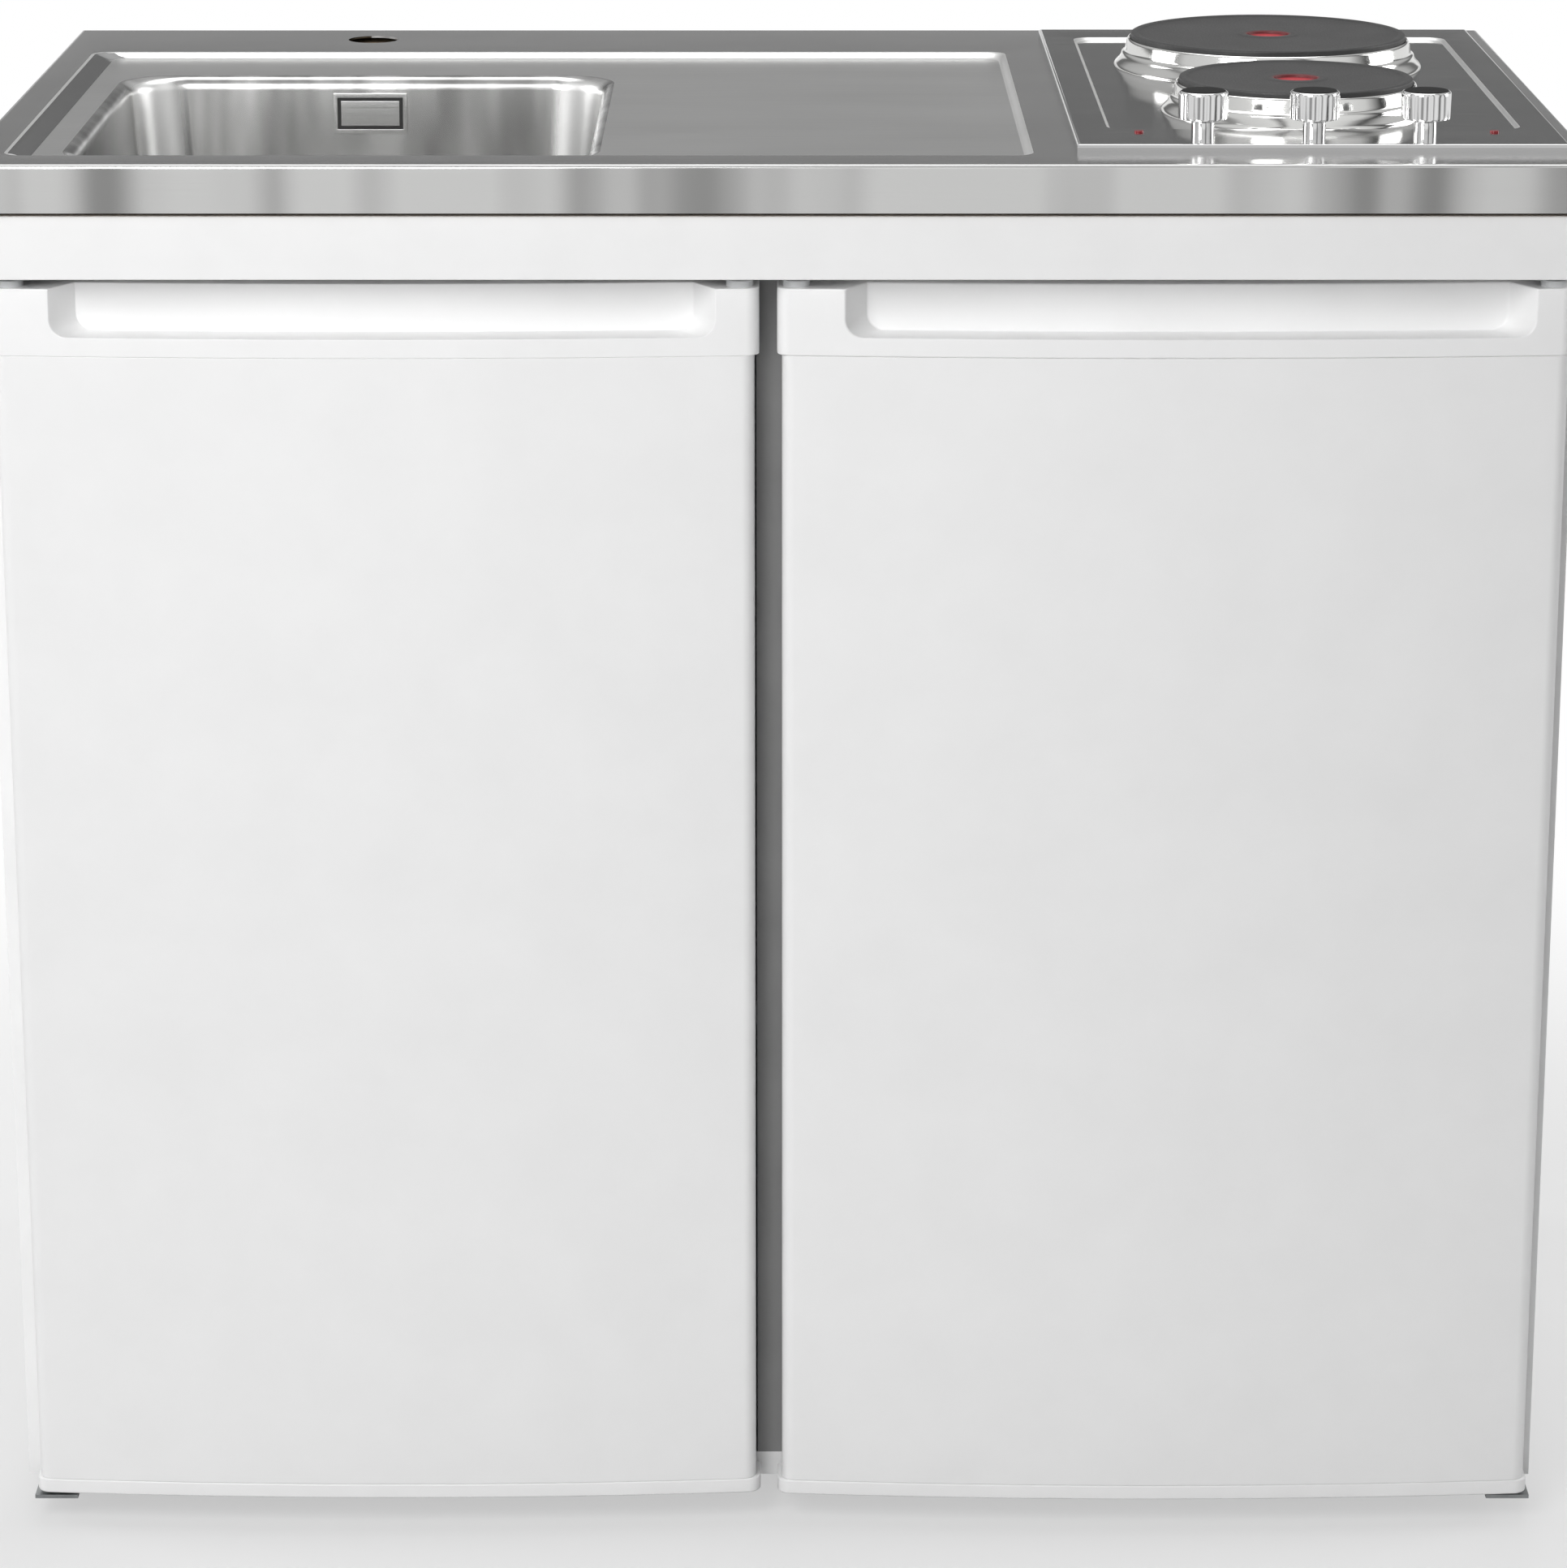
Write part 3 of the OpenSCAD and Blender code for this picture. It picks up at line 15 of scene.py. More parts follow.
import bmesh
import bpy
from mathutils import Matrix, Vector


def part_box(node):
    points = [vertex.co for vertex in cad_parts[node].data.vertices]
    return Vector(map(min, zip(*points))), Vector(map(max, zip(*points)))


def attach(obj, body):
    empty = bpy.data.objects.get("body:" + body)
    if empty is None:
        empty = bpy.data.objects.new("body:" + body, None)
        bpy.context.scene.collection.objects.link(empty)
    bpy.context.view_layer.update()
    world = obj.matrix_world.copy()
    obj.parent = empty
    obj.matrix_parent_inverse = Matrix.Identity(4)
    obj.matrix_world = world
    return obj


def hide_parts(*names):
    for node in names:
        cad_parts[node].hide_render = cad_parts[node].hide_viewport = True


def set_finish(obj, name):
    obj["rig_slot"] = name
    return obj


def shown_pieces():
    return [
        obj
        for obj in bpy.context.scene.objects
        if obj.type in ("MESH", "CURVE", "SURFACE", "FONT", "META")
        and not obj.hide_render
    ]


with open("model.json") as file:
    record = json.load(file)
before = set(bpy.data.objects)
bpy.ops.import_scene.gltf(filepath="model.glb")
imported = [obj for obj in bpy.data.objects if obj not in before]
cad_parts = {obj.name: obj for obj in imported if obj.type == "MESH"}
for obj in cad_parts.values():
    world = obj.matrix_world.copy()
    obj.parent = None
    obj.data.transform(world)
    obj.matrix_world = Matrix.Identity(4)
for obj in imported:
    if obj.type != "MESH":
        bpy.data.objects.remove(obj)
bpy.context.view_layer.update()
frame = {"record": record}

# %% [markdown]
# ## Camera
#
# The photo shows the front from above, cropped at the worktop's ends, through a shifted lens that
# keeps upright edges parallel. This camera has no shift: a long lens from further off, pitched
# down, keeps those edges nearly upright.

# %% Camera
camera_place = Vector((0.003, -3.5, 1.418))
camera_pitch = 15.86
focal_mm = 121.7
sensor_mm = 36

camera = bpy.data.objects.new("camera", bpy.data.cameras.new("camera"))
camera.data.lens = focal_mm
camera.data.sensor_width = sensor_mm
camera.location = camera_place
camera.rotation_euler = (math.radians(90 - camera_pitch), 0, 0)
bpy.context.collection.objects.link(camera)
bpy.context.scene.camera = camera
bpy.context.scene.view_settings.view_transform = "Standard"
print("camera at", tuple(camera_place))

# %% [markdown]
# ## Helpers for modelling
#
# A piece starts as a primitive at its place and size, and is shaped in edit mode. An operator acts
# on all that is selected, so pick() first selects the vertices, edges or faces whose corners all
# pass a test of place.

# %% Start a piece, pick parts of it
EPS = 1e-5


def near(a, b, slack=EPS):
    return abs(a - b) < slack


def start(name, add, middle, scale=(1, 1, 1), **how):
    """Adds a primitive as a new object with its place in its mesh, and opens it in edit mode."""
    bpy.ops.object.select_all(action="DESELECT")
    add(location=middle, **how)
    piece = bpy.context.object
    piece.name = piece.data.name = name
    piece.scale = scale
    bpy.ops.object.transform_apply(location=True, rotation=True, scale=True)
    bpy.ops.object.mode_set(mode="EDIT")
    bpy.ops.mesh.select_all(action="SELECT")
    return piece


def start_block(name, low, high):
    low, high = Vector(low), Vector(high)
    return start(name, bpy.ops.mesh.primitive_cube_add, (low + high) / 2, high - low, size=1)


def pick(kind, test, add_to=False):
    """Selects the vertices, edges or faces of which every corner passes the test."""
    bpy.ops.mesh.select_mode(type=kind)
    if not add_to:
        bpy.ops.mesh.select_all(action="DESELECT")
    mesh = bmesh.from_edit_mesh(bpy.context.object.data)
    parts = {"VERT": mesh.verts, "EDGE": mesh.edges, "FACE": mesh.faces}[kind]
    found = 0
    for part in parts:
        corners = [part] if kind == "VERT" else part.verts
        if all(test(v.co) for v in corners):
            part.select_set(True)
            found += 1
    bmesh.update_edit_mesh(bpy.context.object.data)
    return found


def extrude(x, y, z):
    bpy.ops.mesh.extrude_region_move(TRANSFORM_OT_translate={"value": (x, y, z)})


def open_at(z):
    """Takes the faces at height z away and leaves their edges."""
    pick("FACE", lambda p: near(p.z, z))
    bpy.ops.mesh.delete(type="ONLY_FACE")


print("modelling helpers ready")

# %% [markdown]
# ## Pressing by steps
#
# A press leaves an S-shaped slope. Here the face is extruded and drawn in a little, again and
# again. Scaling keeps its round corners, which an inset would wear away.

# %% Steps that draw a face in while it is extruded
def step(box, margins, rise):
    """Extrudes the selected face by rise and draws its sides in; box is (x0, x1, y0, y1)."""
    x0, x1, y0, y1 = box
    left, right, front, back = margins
    new = (x0 + left, x1 - right, y0 + front, y1 - back)
    extrude(0, 0, rise)
    ratio_x = (new[1] - new[0]) / (x1 - x0)
    ratio_y = (new[3] - new[2]) / (y1 - y0)
    pivot_x = (new[0] - x0 * ratio_x) / (1 - ratio_x) if not near(ratio_x, 1) else x0
    pivot_y = (new[2] - y0 * ratio_y) / (1 - ratio_y) if not near(ratio_y, 1) else y0
    bpy.ops.transform.resize(value=(ratio_x, ratio_y, 1), center_override=(pivot_x, pivot_y, 0))
    return new


def press(box, margins, rise, steps=8):
    """A pressed slope: an S-shaped profile from the selected face down or up by rise."""
    for i in range(steps):
        a, b = i / steps, (i + 1) / steps
        share = (1 - math.cos(math.pi * b)) / 2 - (1 - math.cos(math.pi * a)) / 2
        box = step(box, [m / steps for m in margins], rise * share)
    return box


def outline(box, z, radius, segments=10):
    """Adds the outline of a rectangle with round corners to the piece in edit mode."""
    x0, x1, y0, y1 = box
    middle = ((x0 + x1) / 2, (y0 + y1) / 2, z)
    bpy.ops.mesh.primitive_plane_add(size=1, location=middle)
    bpy.ops.transform.resize(value=(x1 - x0, y1 - y0, 1), center_override=middle)
    bpy.ops.mesh.bevel(offset=radius, segments=segments, affect="VERTICES")
    bpy.ops.mesh.delete(type="ONLY_FACE")


def inside(box, p):
    """True for a point that lies in the box as seen from above."""
    x0, x1, y0, y1 = box
    return x0 - EPS < p.x < x1 + EPS and y0 - EPS < p.y < y1 + EPS


def within(box, z):
    """A test for corners at height z inside the box."""
    return lambda p: near(p.z, z) and inside(box, p)


print("pressing helpers ready")

# %% [markdown]
# ## Turning and finishing
#
# Round pieces are turned or spun. Here a circle is extruded and scaled along a list of radii and
# heights, which leaves no seam. Every piece then gets its wall and the small radius of a real
# edge, which catches the light.

# %% A turned piece, and the finishing of any piece
def turned(name, axis_x, axis_y, profile, sides=96):
    """Extrudes and scales a circle along (radius, height) steps; a radius of 0 closes the end."""
    (r0, z0), *rest = profile
    closed = near(r0, 0)
    first = rest[0][0] if closed else r0
    centre = (axis_x, axis_y, z0)
    piece = start(name, bpy.ops.mesh.primitive_circle_add, centre, vertices=sides, radius=first,
                  fill_type="NGON" if closed else "NOTHING")
    lengthen = bpy.ops.mesh.extrude_region_move if closed else bpy.ops.mesh.extrude_edges_move
    now_r, now_z = (first, z0)
    for r, z in (rest[1:] if closed else rest):
        lengthen(TRANSFORM_OT_translate={"value": (0, 0, z - now_z)})
        if near(r, 0):
            bpy.ops.mesh.merge(type="CENTER")
            break
        wider = r / now_r
        bpy.ops.transform.resize(value=(wider, wider, 1), center_override=(axis_x, axis_y, z))
        now_r, now_z = r, z
    return piece


def finish_shape(piece, wall=0, bevel=0, segments=3, angle=32, outward=True):
    """Leaves edit mode, gives a sheet its wall and edges their radius, and smooths the shading."""
    if outward:
        bpy.ops.mesh.select_all(action="SELECT")
        bpy.ops.mesh.normals_make_consistent(inside=False)
    bpy.ops.object.mode_set(mode="OBJECT")
    if wall:
        solid = piece.modifiers.new("wall", "SOLIDIFY")
        solid.thickness, solid.offset, solid.use_even_offset = wall, -1, True
    if bevel:
        round_off = piece.modifiers.new("edges", "BEVEL")
        round_off.width, round_off.segments = bevel, segments
        round_off.limit_method, round_off.angle_limit = "ANGLE", math.radians(angle)
    for modifier in list(piece.modifiers):
        bpy.ops.object.modifier_apply(modifier=modifier.name)
    bpy.ops.object.shade_smooth_by_angle(angle=math.radians(angle))
    even = piece.modifiers.new("flat faces", "WEIGHTED_NORMAL")
    even.keep_sharp = True
    bpy.ops.object.modifier_apply(modifier=even.name)
    return piece


def place(piece, body, slot, *nodes):
    """The piece rides on its body, takes its slot and stands for the CAD nodes."""
    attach(piece, body)
    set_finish(piece, slot)
    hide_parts(*nodes)
    print(piece.name, "has", len(piece.data.polygons), "faces")


print("turning and finishing helpers ready")

# %% [markdown]
# ## Worktop and bowl
#
# One stainless sheet, 1.2 mm thick, folded down 30 mm at its edges. The drainer is pressed 4 mm
# into it, and the deep-drawn bowl is welded into the drainer's floor and ground smooth, so no seam
# shows: both are one surface here. Boolean holes would leave faces that mirror badly, so the flat
# is filled between outlines, and the pressing and the bowl grow from theirs.

# %% Worktop sheet with its openings
top_low, top_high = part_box("worktop")
top_z = top_high.z
sheet = 0.0012
fold_r = 0.003

# Boxes are (x0, x1, y0, y1), and slopes are as wide as here on the left, right, front and back.
recess = (-0.477, 0.157, -0.265, 0.188)
recess_corner_r = 0.012
recess_depth = 0.004
recess_slope = (0.017, 0.005, 0.003, 0.007)
tap_hole = Vector((-0.287, 0.25, top_z))
tap_hole_r = 0.0175
hob_opening = (0.196, 0.476, -0.241, 0.255)
hob_corner_r = 0.006

worktop = start_block("worktop_and_bowl", top_low, top_high)
pick("EDGE", lambda p: near(p.z, top_z))
bpy.ops.mesh.bevel(offset=fold_r, segments=5)
open_at(top_z)
open_at(top_low.z)
outline(recess, top_z, recess_corner_r)
outline(hob_opening, top_z, hob_corner_r, segments=4)
bpy.ops.mesh.primitive_circle_add(vertices=40, radius=tap_hole_r, location=tap_hole)
pick("EDGE", lambda p: near(p.z, top_z))
bpy.ops.mesh.fill(use_beauty=True)
print("flat filled round the recess, the hob opening and the tap hole")

# %% The pressed drainer
pick("EDGE", within(recess, top_z))
bpy.ops.mesh.edge_face_add()
pick("FACE", within(recess, top_z))
floor_box = press(recess, recess_slope, -recess_depth)
floor_z = top_z - recess_depth
print("drainer floor", [round(v, 4) for v in floor_box])

# %% The bowl's opening in the drainer's floor
bowl = (-0.445, -0.111, -0.260, 0.103)
bowl_corner_r = 0.038
bowl_segments = 16

pick("FACE", within(floor_box, floor_z))
bpy.ops.mesh.delete(type="ONLY_FACE")
outline(bowl, floor_z, bowl_corner_r, bowl_segments)
pick("EDGE", within(floor_box, floor_z))
bpy.ops.mesh.fill(use_beauty=True)
pick("EDGE", within(bowl, floor_z))
bpy.ops.mesh.edge_face_add()
print("bowl opening added")

# %% The bowl: a rounded lip, leaning walls and a soft turn into the floor
bowl_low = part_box("sink_bowl")[0]
lip_in, lip_drop = 0.008, 0.0092
wall_in, turn_r = 0.010, 0.022
lip_steps, turn_steps = 8, 9
bowl_floor_z = bowl_low.z + sheet
turn_top_z = bowl_floor_z + turn_r

pick("FACE", within(bowl, floor_z))
now, now_in, now_z = bowl, 0, floor_z
profile = []
for i in range(1, lip_steps + 1):
    a = math.radians(90 * i / lip_steps)
    profile.append((lip_in * math.sin(a), floor_z - lip_drop * (1 - math.cos(a))))
profile.append((lip_in + wall_in, turn_top_z))
for i in range(1, turn_steps + 1):
    a = math.radians(90 * i / turn_steps)
    profile.append((lip_in + wall_in + turn_r * (1 - math.cos(a)),
                    turn_top_z - turn_r * math.sin(a)))
for inset, z in profile:
    now = step(now, [inset - now_in] * 4, z - now_z)
    now_in, now_z = inset, z
print("bowl floor at", round(now_z, 4))

# %% The bowl's floor falls to the waste
waste_r = 0.047
waste_dip = 0.0012
floor_rings = 6
bowl_middle = Vector(((bowl[0] + bowl[1]) / 2, (bowl[2] + bowl[3]) / 2, now_z - waste_dip))

pick("FACE", within(now, now_z))
bpy.ops.mesh.delete(type="ONLY_FACE")
floor_edge_verts = 4 * (bowl_segments + 1)
bpy.ops.mesh.primitive_circle_add(vertices=floor_edge_verts, radius=waste_r,
                                  location=bowl_middle)
pick("EDGE", within(now, now_z))
pick("EDGE", within(now, now_z - waste_dip), add_to=True)
bpy.ops.mesh.bridge_edge_loops(number_cuts=floor_rings, interpolation="LINEAR")
finish_shape(worktop, wall=sheet)
place(worktop, "unit", "stainless", "worktop", "sink_bowl")

# %% [markdown]
# ## Overflow plate
#
# A small pressed plate on the bowl's back wall, with a narrow slot round its middle through which
# water runs off before the bowl is full. The front of a block is inset, sunk, inset again and
# raised, so the slot is real and its edges catch the light.

# %% Overflow plate
plate_top = Vector((bowl_middle.x, 0.095, 0.8868))
plate_drop = 0.002
plate_w, plate_h, plate_t = 0.050, 0.027, 0.002
rim_w, slot_w, slot_edge = 0.0028, 0.0024, 0.0004
slot_sink = plate_t * 0.7
wall_lean = math.radians(-4.76)
front_y = plate_top.y - plate_t
upper_z = plate_top.z - plate_drop

overflow = start_block("overflow_plate_pressed",
                       (plate_top.x - plate_w / 2, front_y, upper_z - plate_h),
                       (plate_top.x + plate_w / 2, plate_top.y, upper_z))
pick("FACE", lambda p: near(p.y, front_y))
bpy.ops.mesh.inset(thickness=rim_w)
bpy.ops.mesh.inset(thickness=slot_edge)
bpy.ops.transform.translate(value=(0, slot_sink, 0))
bpy.ops.mesh.inset(thickness=slot_w - 2 * slot_edge)
bpy.ops.mesh.inset(thickness=slot_edge)
bpy.ops.transform.translate(value=(0, -slot_sink, 0))
bpy.ops.mesh.select_all(action="SELECT")
bpy.ops.transform.rotate(value=-wall_lean, orient_axis="X", center_override=plate_top)
finish_shape(overflow, bevel=0.0002, segments=2)
place(overflow, "unit", "stainless", "overflow_plate")

# %% The slot's floor, which later gets a black colour as painted shade
lean_back = Vector((0, math.cos(wall_lean), math.sin(wall_lean)))


def depth_share(face):
    """How deep a face lies in the plate: 0 at its front, 1 at its back."""
    return lean_back.dot(face.center - plate_top) / plate_t + 1


slot_shade_faces = [face for face in overflow.data.polygons
              if 0.6 < depth_share(face) < 0.9 and abs(lean_back.dot(face.normal)) > 0.9]
print("slot floor faces", len(slot_shade_faces))

# %% [markdown]
# ## Hob tray
#
# A drawn stainless tray with rounded edges and a field pressed 2 mm down, which holds what boils
# over. It is made as the worktop is, from an outline on its flat.

# %% Hob tray
tray_low, tray_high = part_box("hob_tray")
tray_z = tray_high.z
tray_edge_r = 0.0022
tray_sheet = 0.0008
field = (0.206, 0.466, -0.193, 0.225)
field_corner_r = 0.012
field_slope = [0.0026] * 4
field_depth = 0.002

tray = start_block("hob_tray_drawn", (tray_low.x, tray_low.y, top_z), tray_high)
pick("EDGE", lambda p: near(p.z, tray_z))
bpy.ops.mesh.bevel(offset=tray_edge_r, segments=5)
open_at(tray_z)
open_at(top_z)
outline(field, tray_z, field_corner_r)
pick("EDGE", lambda p: near(p.z, tray_z))
bpy.ops.mesh.fill(use_beauty=True)
pick("EDGE", within(field, tray_z))
bpy.ops.mesh.edge_face_add()
pick("FACE", within(field, tray_z))
press(field, field_slope, -field_depth, steps=6)
finish_shape(tray, wall=tray_sheet)
place(tray, "unit", "hob_steel", "hob_tray")

# %% [markdown]
# ## Hotplates and collars
#
# A plate is cast iron with its face turned: a raised rim, a shallow dish and a sunk centre with a
# red mark. It stands in a ring of bright steel with two steps, which keeps spills out of the
# casing. Both are turned from the radii and heights of their section.

# %% Hotplates
plate_sides = 128


def hotplate(node):
    """Turns a plate from the middle of its underside, round its rim, to the middle of its face."""
    low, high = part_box(node)
    r, z = (high.x - low.x) / 2, high.z
    x, y = (low.x + high.x) / 2, (low.y + high.y) / 2
    profile = [(0, low.z), (r - 0.001, low.z), (r, low.z + 0.001), (r, z - 0.0016),
               (r - 0.0004, z - 0.0005), (r - 0.0013, z), (r - 0.0045, z),
               (r - 0.0055, z - 0.0007), (r - 0.007, z - 0.001), (0.0215, z - 0.001),
               (0.0205, z - 0.0006), (0.019, z - 0.0005), (0.0148, z - 0.0005),
               (0.014, z - 0.001), (0.0138, z - 0.0024), (0.012, z - 0.0026), (0, z - 0.0026)]
    piece = turned(node + "_cast", x, y, profile, plate_sides)
    finish_shape(piece, angle=40)
    return piece


plates = {}
for end in ("front", "rear"):
    plates[end] = hotplate(f"{end}_hotplate")
    place(plates[end], "unit", "cast_iron", f"{end}_hotplate")

# %% Collars
collar_gap = 0.0003


def collar(node, name):
    """Turns the ring round a plate, from the tray up over its ledge to the gap beside the plate."""
    low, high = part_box(node)
    r = (high.x - low.x) / 2 + collar_gap
    x, y = (low.x + high.x) / 2, (low.y + high.y) / 2
    z = tray_z - field_depth
    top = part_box("plate_collars")[1].z
    ledge = (z + top) / 2
    profile = [(r + 0.0108, z), (r + 0.0107, z + 0.0010), (r + 0.0098, z + 0.0024),
               (r + 0.0072, z + 0.0050), (r + 0.0061, ledge - 0.0018),
               (r + 0.0057, ledge - 0.0006), (r + 0.0050, ledge), (r + 0.0041, ledge + 0.0003),
               (r + 0.0036, ledge + 0.0010), (r + 0.0033, ledge + 0.0024),
               (r + 0.0023, top - 0.0015), (r + 0.0017, top - 0.0004), (r + 0.0009, top),
               (r + 0.0002, top - 0.0003), (r, top - 0.0014)]
    piece = turned(name, x, y, profile, plate_sides)
    finish_shape(piece, angle=40, outward=False)
    return piece


for end in plates:
    ring = collar(f"{end}_hotplate", f"{end}_collar")
    place(ring, "unit", "stainless", "plate_collars")

# %% [markdown]
# ## Knobs
#
# A moulded and chromed body on a narrow neck, with twelve shallow flutes for the fingers and a
# black cap let into its top. Each flute is three columns of the turned wall's vertices, drawn in.
# One knob is modelled, and the three are copies of it, each with its own mesh.

# %% Where the knobs stand
knob_low, knob_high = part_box("hob_knob_left")
knob_r = (knob_high.x - knob_low.x) / 2
knob_x = (knob_low.x + knob_high.x) / 2
knob_y = (knob_low.y + knob_high.y) / 2
knob_sides = 96
cap_top = knob_high.z
knob_top = cap_top - 0.0006
knob_foot = cap_top - 0.018
cap_r = 0.0136
print("knobs", round(knob_r * 2000, 1), "mm across")

# %% Knob body with its flutes
flutes = 12
flute_step = 360 / flutes
flute_floor, flute_side = 0.962, 0.978


def on_flute(p, turned_by):
    """True for a corner of the outer wall that is turned_by degrees off a flute's middle."""
    away = math.hypot(p.x - knob_x, p.y - knob_y)
    turn = math.degrees(math.atan2(p.y - knob_y, p.x - knob_x)) % flute_step
    off = min(turn, flute_step - turn)
    on_wall = away > cap_r + 0.0008 and knob_foot + 0.0008 < p.z < knob_top - 0.0012
    return on_wall and near(off, turned_by, 0.5)


r, top, foot = knob_r, knob_top, knob_foot
profile = [(0, knob_low.z), (0.0072, knob_low.z), (0.0072, foot - 0.0020),
           (0.0078, foot - 0.0012), (0.0092, foot), (r - 0.0014, foot),
           (r - 0.0004, foot + 0.0004), (r, foot + 0.0014), (r, top - 0.0026),
           (r - 0.0002, top - 0.0010), (r - 0.0008, top - 0.0003), (r - 0.0014, top),
           (cap_r + 0.0002, top), (cap_r + 0.0001, top - 0.0012), (0, top - 0.0012)]
body = turned("knob_body", knob_x, knob_y, profile, knob_sides)
for turned_by, drawn_in in ((0, flute_floor), (360 / knob_sides, flute_side)):
    pick("VERT", lambda p: on_flute(p, turned_by))
    bpy.ops.transform.resize(value=(drawn_in, drawn_in, 1),
                             center_override=(knob_x, knob_y, knob_top))
finish_shape(body, angle=38)
print("knob body with", flutes, "flutes")

# %% Knob cap, and the three knobs
def copy_moved(piece, name, dx):
    """A copy with its own mesh, moved along X by its vertices."""
    bpy.ops.object.select_all(action="DESELECT")
    piece.select_set(True)
    bpy.context.view_layer.objects.active = piece
    bpy.ops.object.duplicate(linked=False)
    twin = bpy.context.object
    twin.name = twin.data.name = name
    twin.location.x = dx
    bpy.ops.object.transform_apply(location=True, rotation=False, scale=False)
    return twin


top = cap_top
profile = [(0, top - 0.0016), (cap_r, top - 0.0016), (cap_r, top - 0.0006),
           (cap_r - 0.0004, top - 0.0001), (cap_r - 0.0016, top), (0, top)]
cap = turned("knob_cap", knob_x, knob_y, profile, knob_sides)
finish_shape(cap, angle=40)
caps = []
for side in ("left", "middle", "right"):
    node = f"hob_knob_{side}"
    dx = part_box(node)[0].x - knob_low.x
    chrome = copy_moved(body, f"{side}_knob_body", dx)
    black = copy_moved(cap, f"{side}_knob_cap", dx)
    place(chrome, f"{side}_knob", "knob_chrome", node)
    place(black, f"{side}_knob", "knob_chrome", node)
    caps.append(black)
for part in (body, cap):
    bpy.data.objects.remove(part)

# %% [markdown]
# ## Fascia
#
# A white coated board under the worktop, with short returns along the sides. It stops 2.5 mm short
# of the worktop's fold, and that gap shows as a thin dark line. The returns are extruded from two
# strips of the board's back.

# %% Fascia
fascia_low, fascia_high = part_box("fascia")
fascia_t = 0.016
shadow_gap = 0.0025
board_edge_r = 0.0008
fascia_back = fascia_low.y + fascia_t

fascia = start_block("fascia_board", fascia_low,
                     (fascia_high.x, fascia_back, fascia_high.z - shadow_gap))
for side_x in (fascia_low.x + fascia_t, fascia_high.x - fascia_t):
    bpy.ops.mesh.select_all(action="SELECT")
    bpy.ops.mesh.bisect(plane_co=(side_x, 0, 0), plane_no=(1, 0, 0))
pick("FACE", lambda p: near(p.y, fascia_back) and abs(p.x) > fascia_high.x - fascia_t - EPS)
extrude(0, fascia_high.y - fascia_back, 0)
finish_shape(fascia, bevel=board_edge_r)
place(fascia, "unit", "white_board", "fascia")

# %% [markdown]
# ## Bowed door fronts
#
# Each door is a lacquered steel skin between two moulded trims, and all three share one bow, 10 mm
# in the middle, which stiffens the sheet. A front is cut into columns and its middle is pulled
# forward with proportional editing, so the rest follows in a curve.

# %% A bowed front, as the skins and the sills have it
door_y = -0.285
door_bow = 0.010
door_back = -0.256
door_edge_r = 0.008
sheet_edge_r = 0.0008
columns = 24
any_depth = 0.02


def bow_out(x0, x1):
    """Pushes the piece in edit mode out into a bow that is highest in the middle of x0 to x1."""
    middle = (x0 + x1) / 2
    pick("VERT", lambda p: near(p.x, middle, 1e-3))
    bpy.ops.transform.translate(value=(0, -door_bow, 0), use_proportional_edit=True,
                                proportional_edit_falloff="INVERSE_SQUARE",
                                proportional_size=(x1 - x0) / 2)


def extrude_to_back():
    """Extrudes what is selected and flattens its far side onto the door's back plane."""
    extrude(0, any_depth, 0)
    bpy.ops.transform.resize(value=(1, 0, 1), center_override=(0, door_back, 0))


def round_upright_edges(x0, x1):
    for x in (x0, x1):
        pick("EDGE", lambda p: near(p.x, x) and p.y < door_back - EPS, add_to=x == x1)
    bpy.ops.mesh.bevel(offset=door_edge_r, segments=8)


def start_front(name, x0, x1, z0, z1):
    """A flat upright plane, on which a door's front begins."""
    middle = ((x0 + x1) / 2, door_y, (z0 + z1) / 2)
    return start(name, bpy.ops.mesh.primitive_plane_add, middle, (x1 - x0, z1 - z0, 1), size=1,
                 rotation=(math.pi / 2, 0, 0))


def bowed_slab(name, x0, x1, z0, z1, bow):
    piece = start_front(name, x0, x1, z0, z1)
    for z in (z0, z1):
        pick("EDGE", lambda p: near(p.z, z), add_to=z == z1)
    bpy.ops.mesh.subdivide(number_cuts=columns - 1)
    bow_out(*bow)
    bpy.ops.mesh.select_all(action="SELECT")
    extrude_to_back()
    round_upright_edges(x0, x1)
    return piece


print("bow of", door_bow, "m ready")

# %% [markdown]
# ## Handle trim
#
# A white moulding along the door's top. The hand goes in over a low lip, so the front is U-shaped
# and a recess lies behind its opening, with round lower corners and with ends that lean together,
# as a moulding must to leave its die. The opening is cut while the front is flat and bowed with
# it: a boolean on the bowed front would be less clean.

# %% Handle trim, first step: a flat front with an opening for the hand
grip_depth = 0.025
grip_r = 0.011
trim_edge_r = 0.0012
lip_t = 0.006
lip_h = 0.012
end_lean = 0.55


def trim_front(name, x0, x1, z0, z1, a, b):
    """A flat front whose opening goes from a to b and up from the lip to its upper edge."""
    lip_z = z0 + lip_h
    piece = start_front(name, x0, x1, z0, z1)
    cuts = (((a, 0, 0), (1, 0, 0)), ((b, 0, 0), (1, 0, 0)), ((0, 0, lip_z), (0, 0, 1)))
    for at, across in cuts:
        bpy.ops.mesh.select_all(action="SELECT")
        bpy.ops.mesh.bisect(plane_co=at, plane_no=across)
    pick("FACE", lambda p: a - EPS < p.x < b + EPS and p.z > lip_z - EPS)
    bpy.ops.mesh.delete(type="FACE")
    bpy.ops.mesh.select_all(action="SELECT")
    bpy.ops.mesh.dissolve_limited(angle_limit=0.01)
    pick("VERT", lambda p: near(p.z, lip_z) and a - EPS < p.x < b + EPS)
    bpy.ops.mesh.bevel(offset=grip_r, segments=8, affect="VERTICES")
    return piece


print("opening with corners of", grip_r, "m ready")

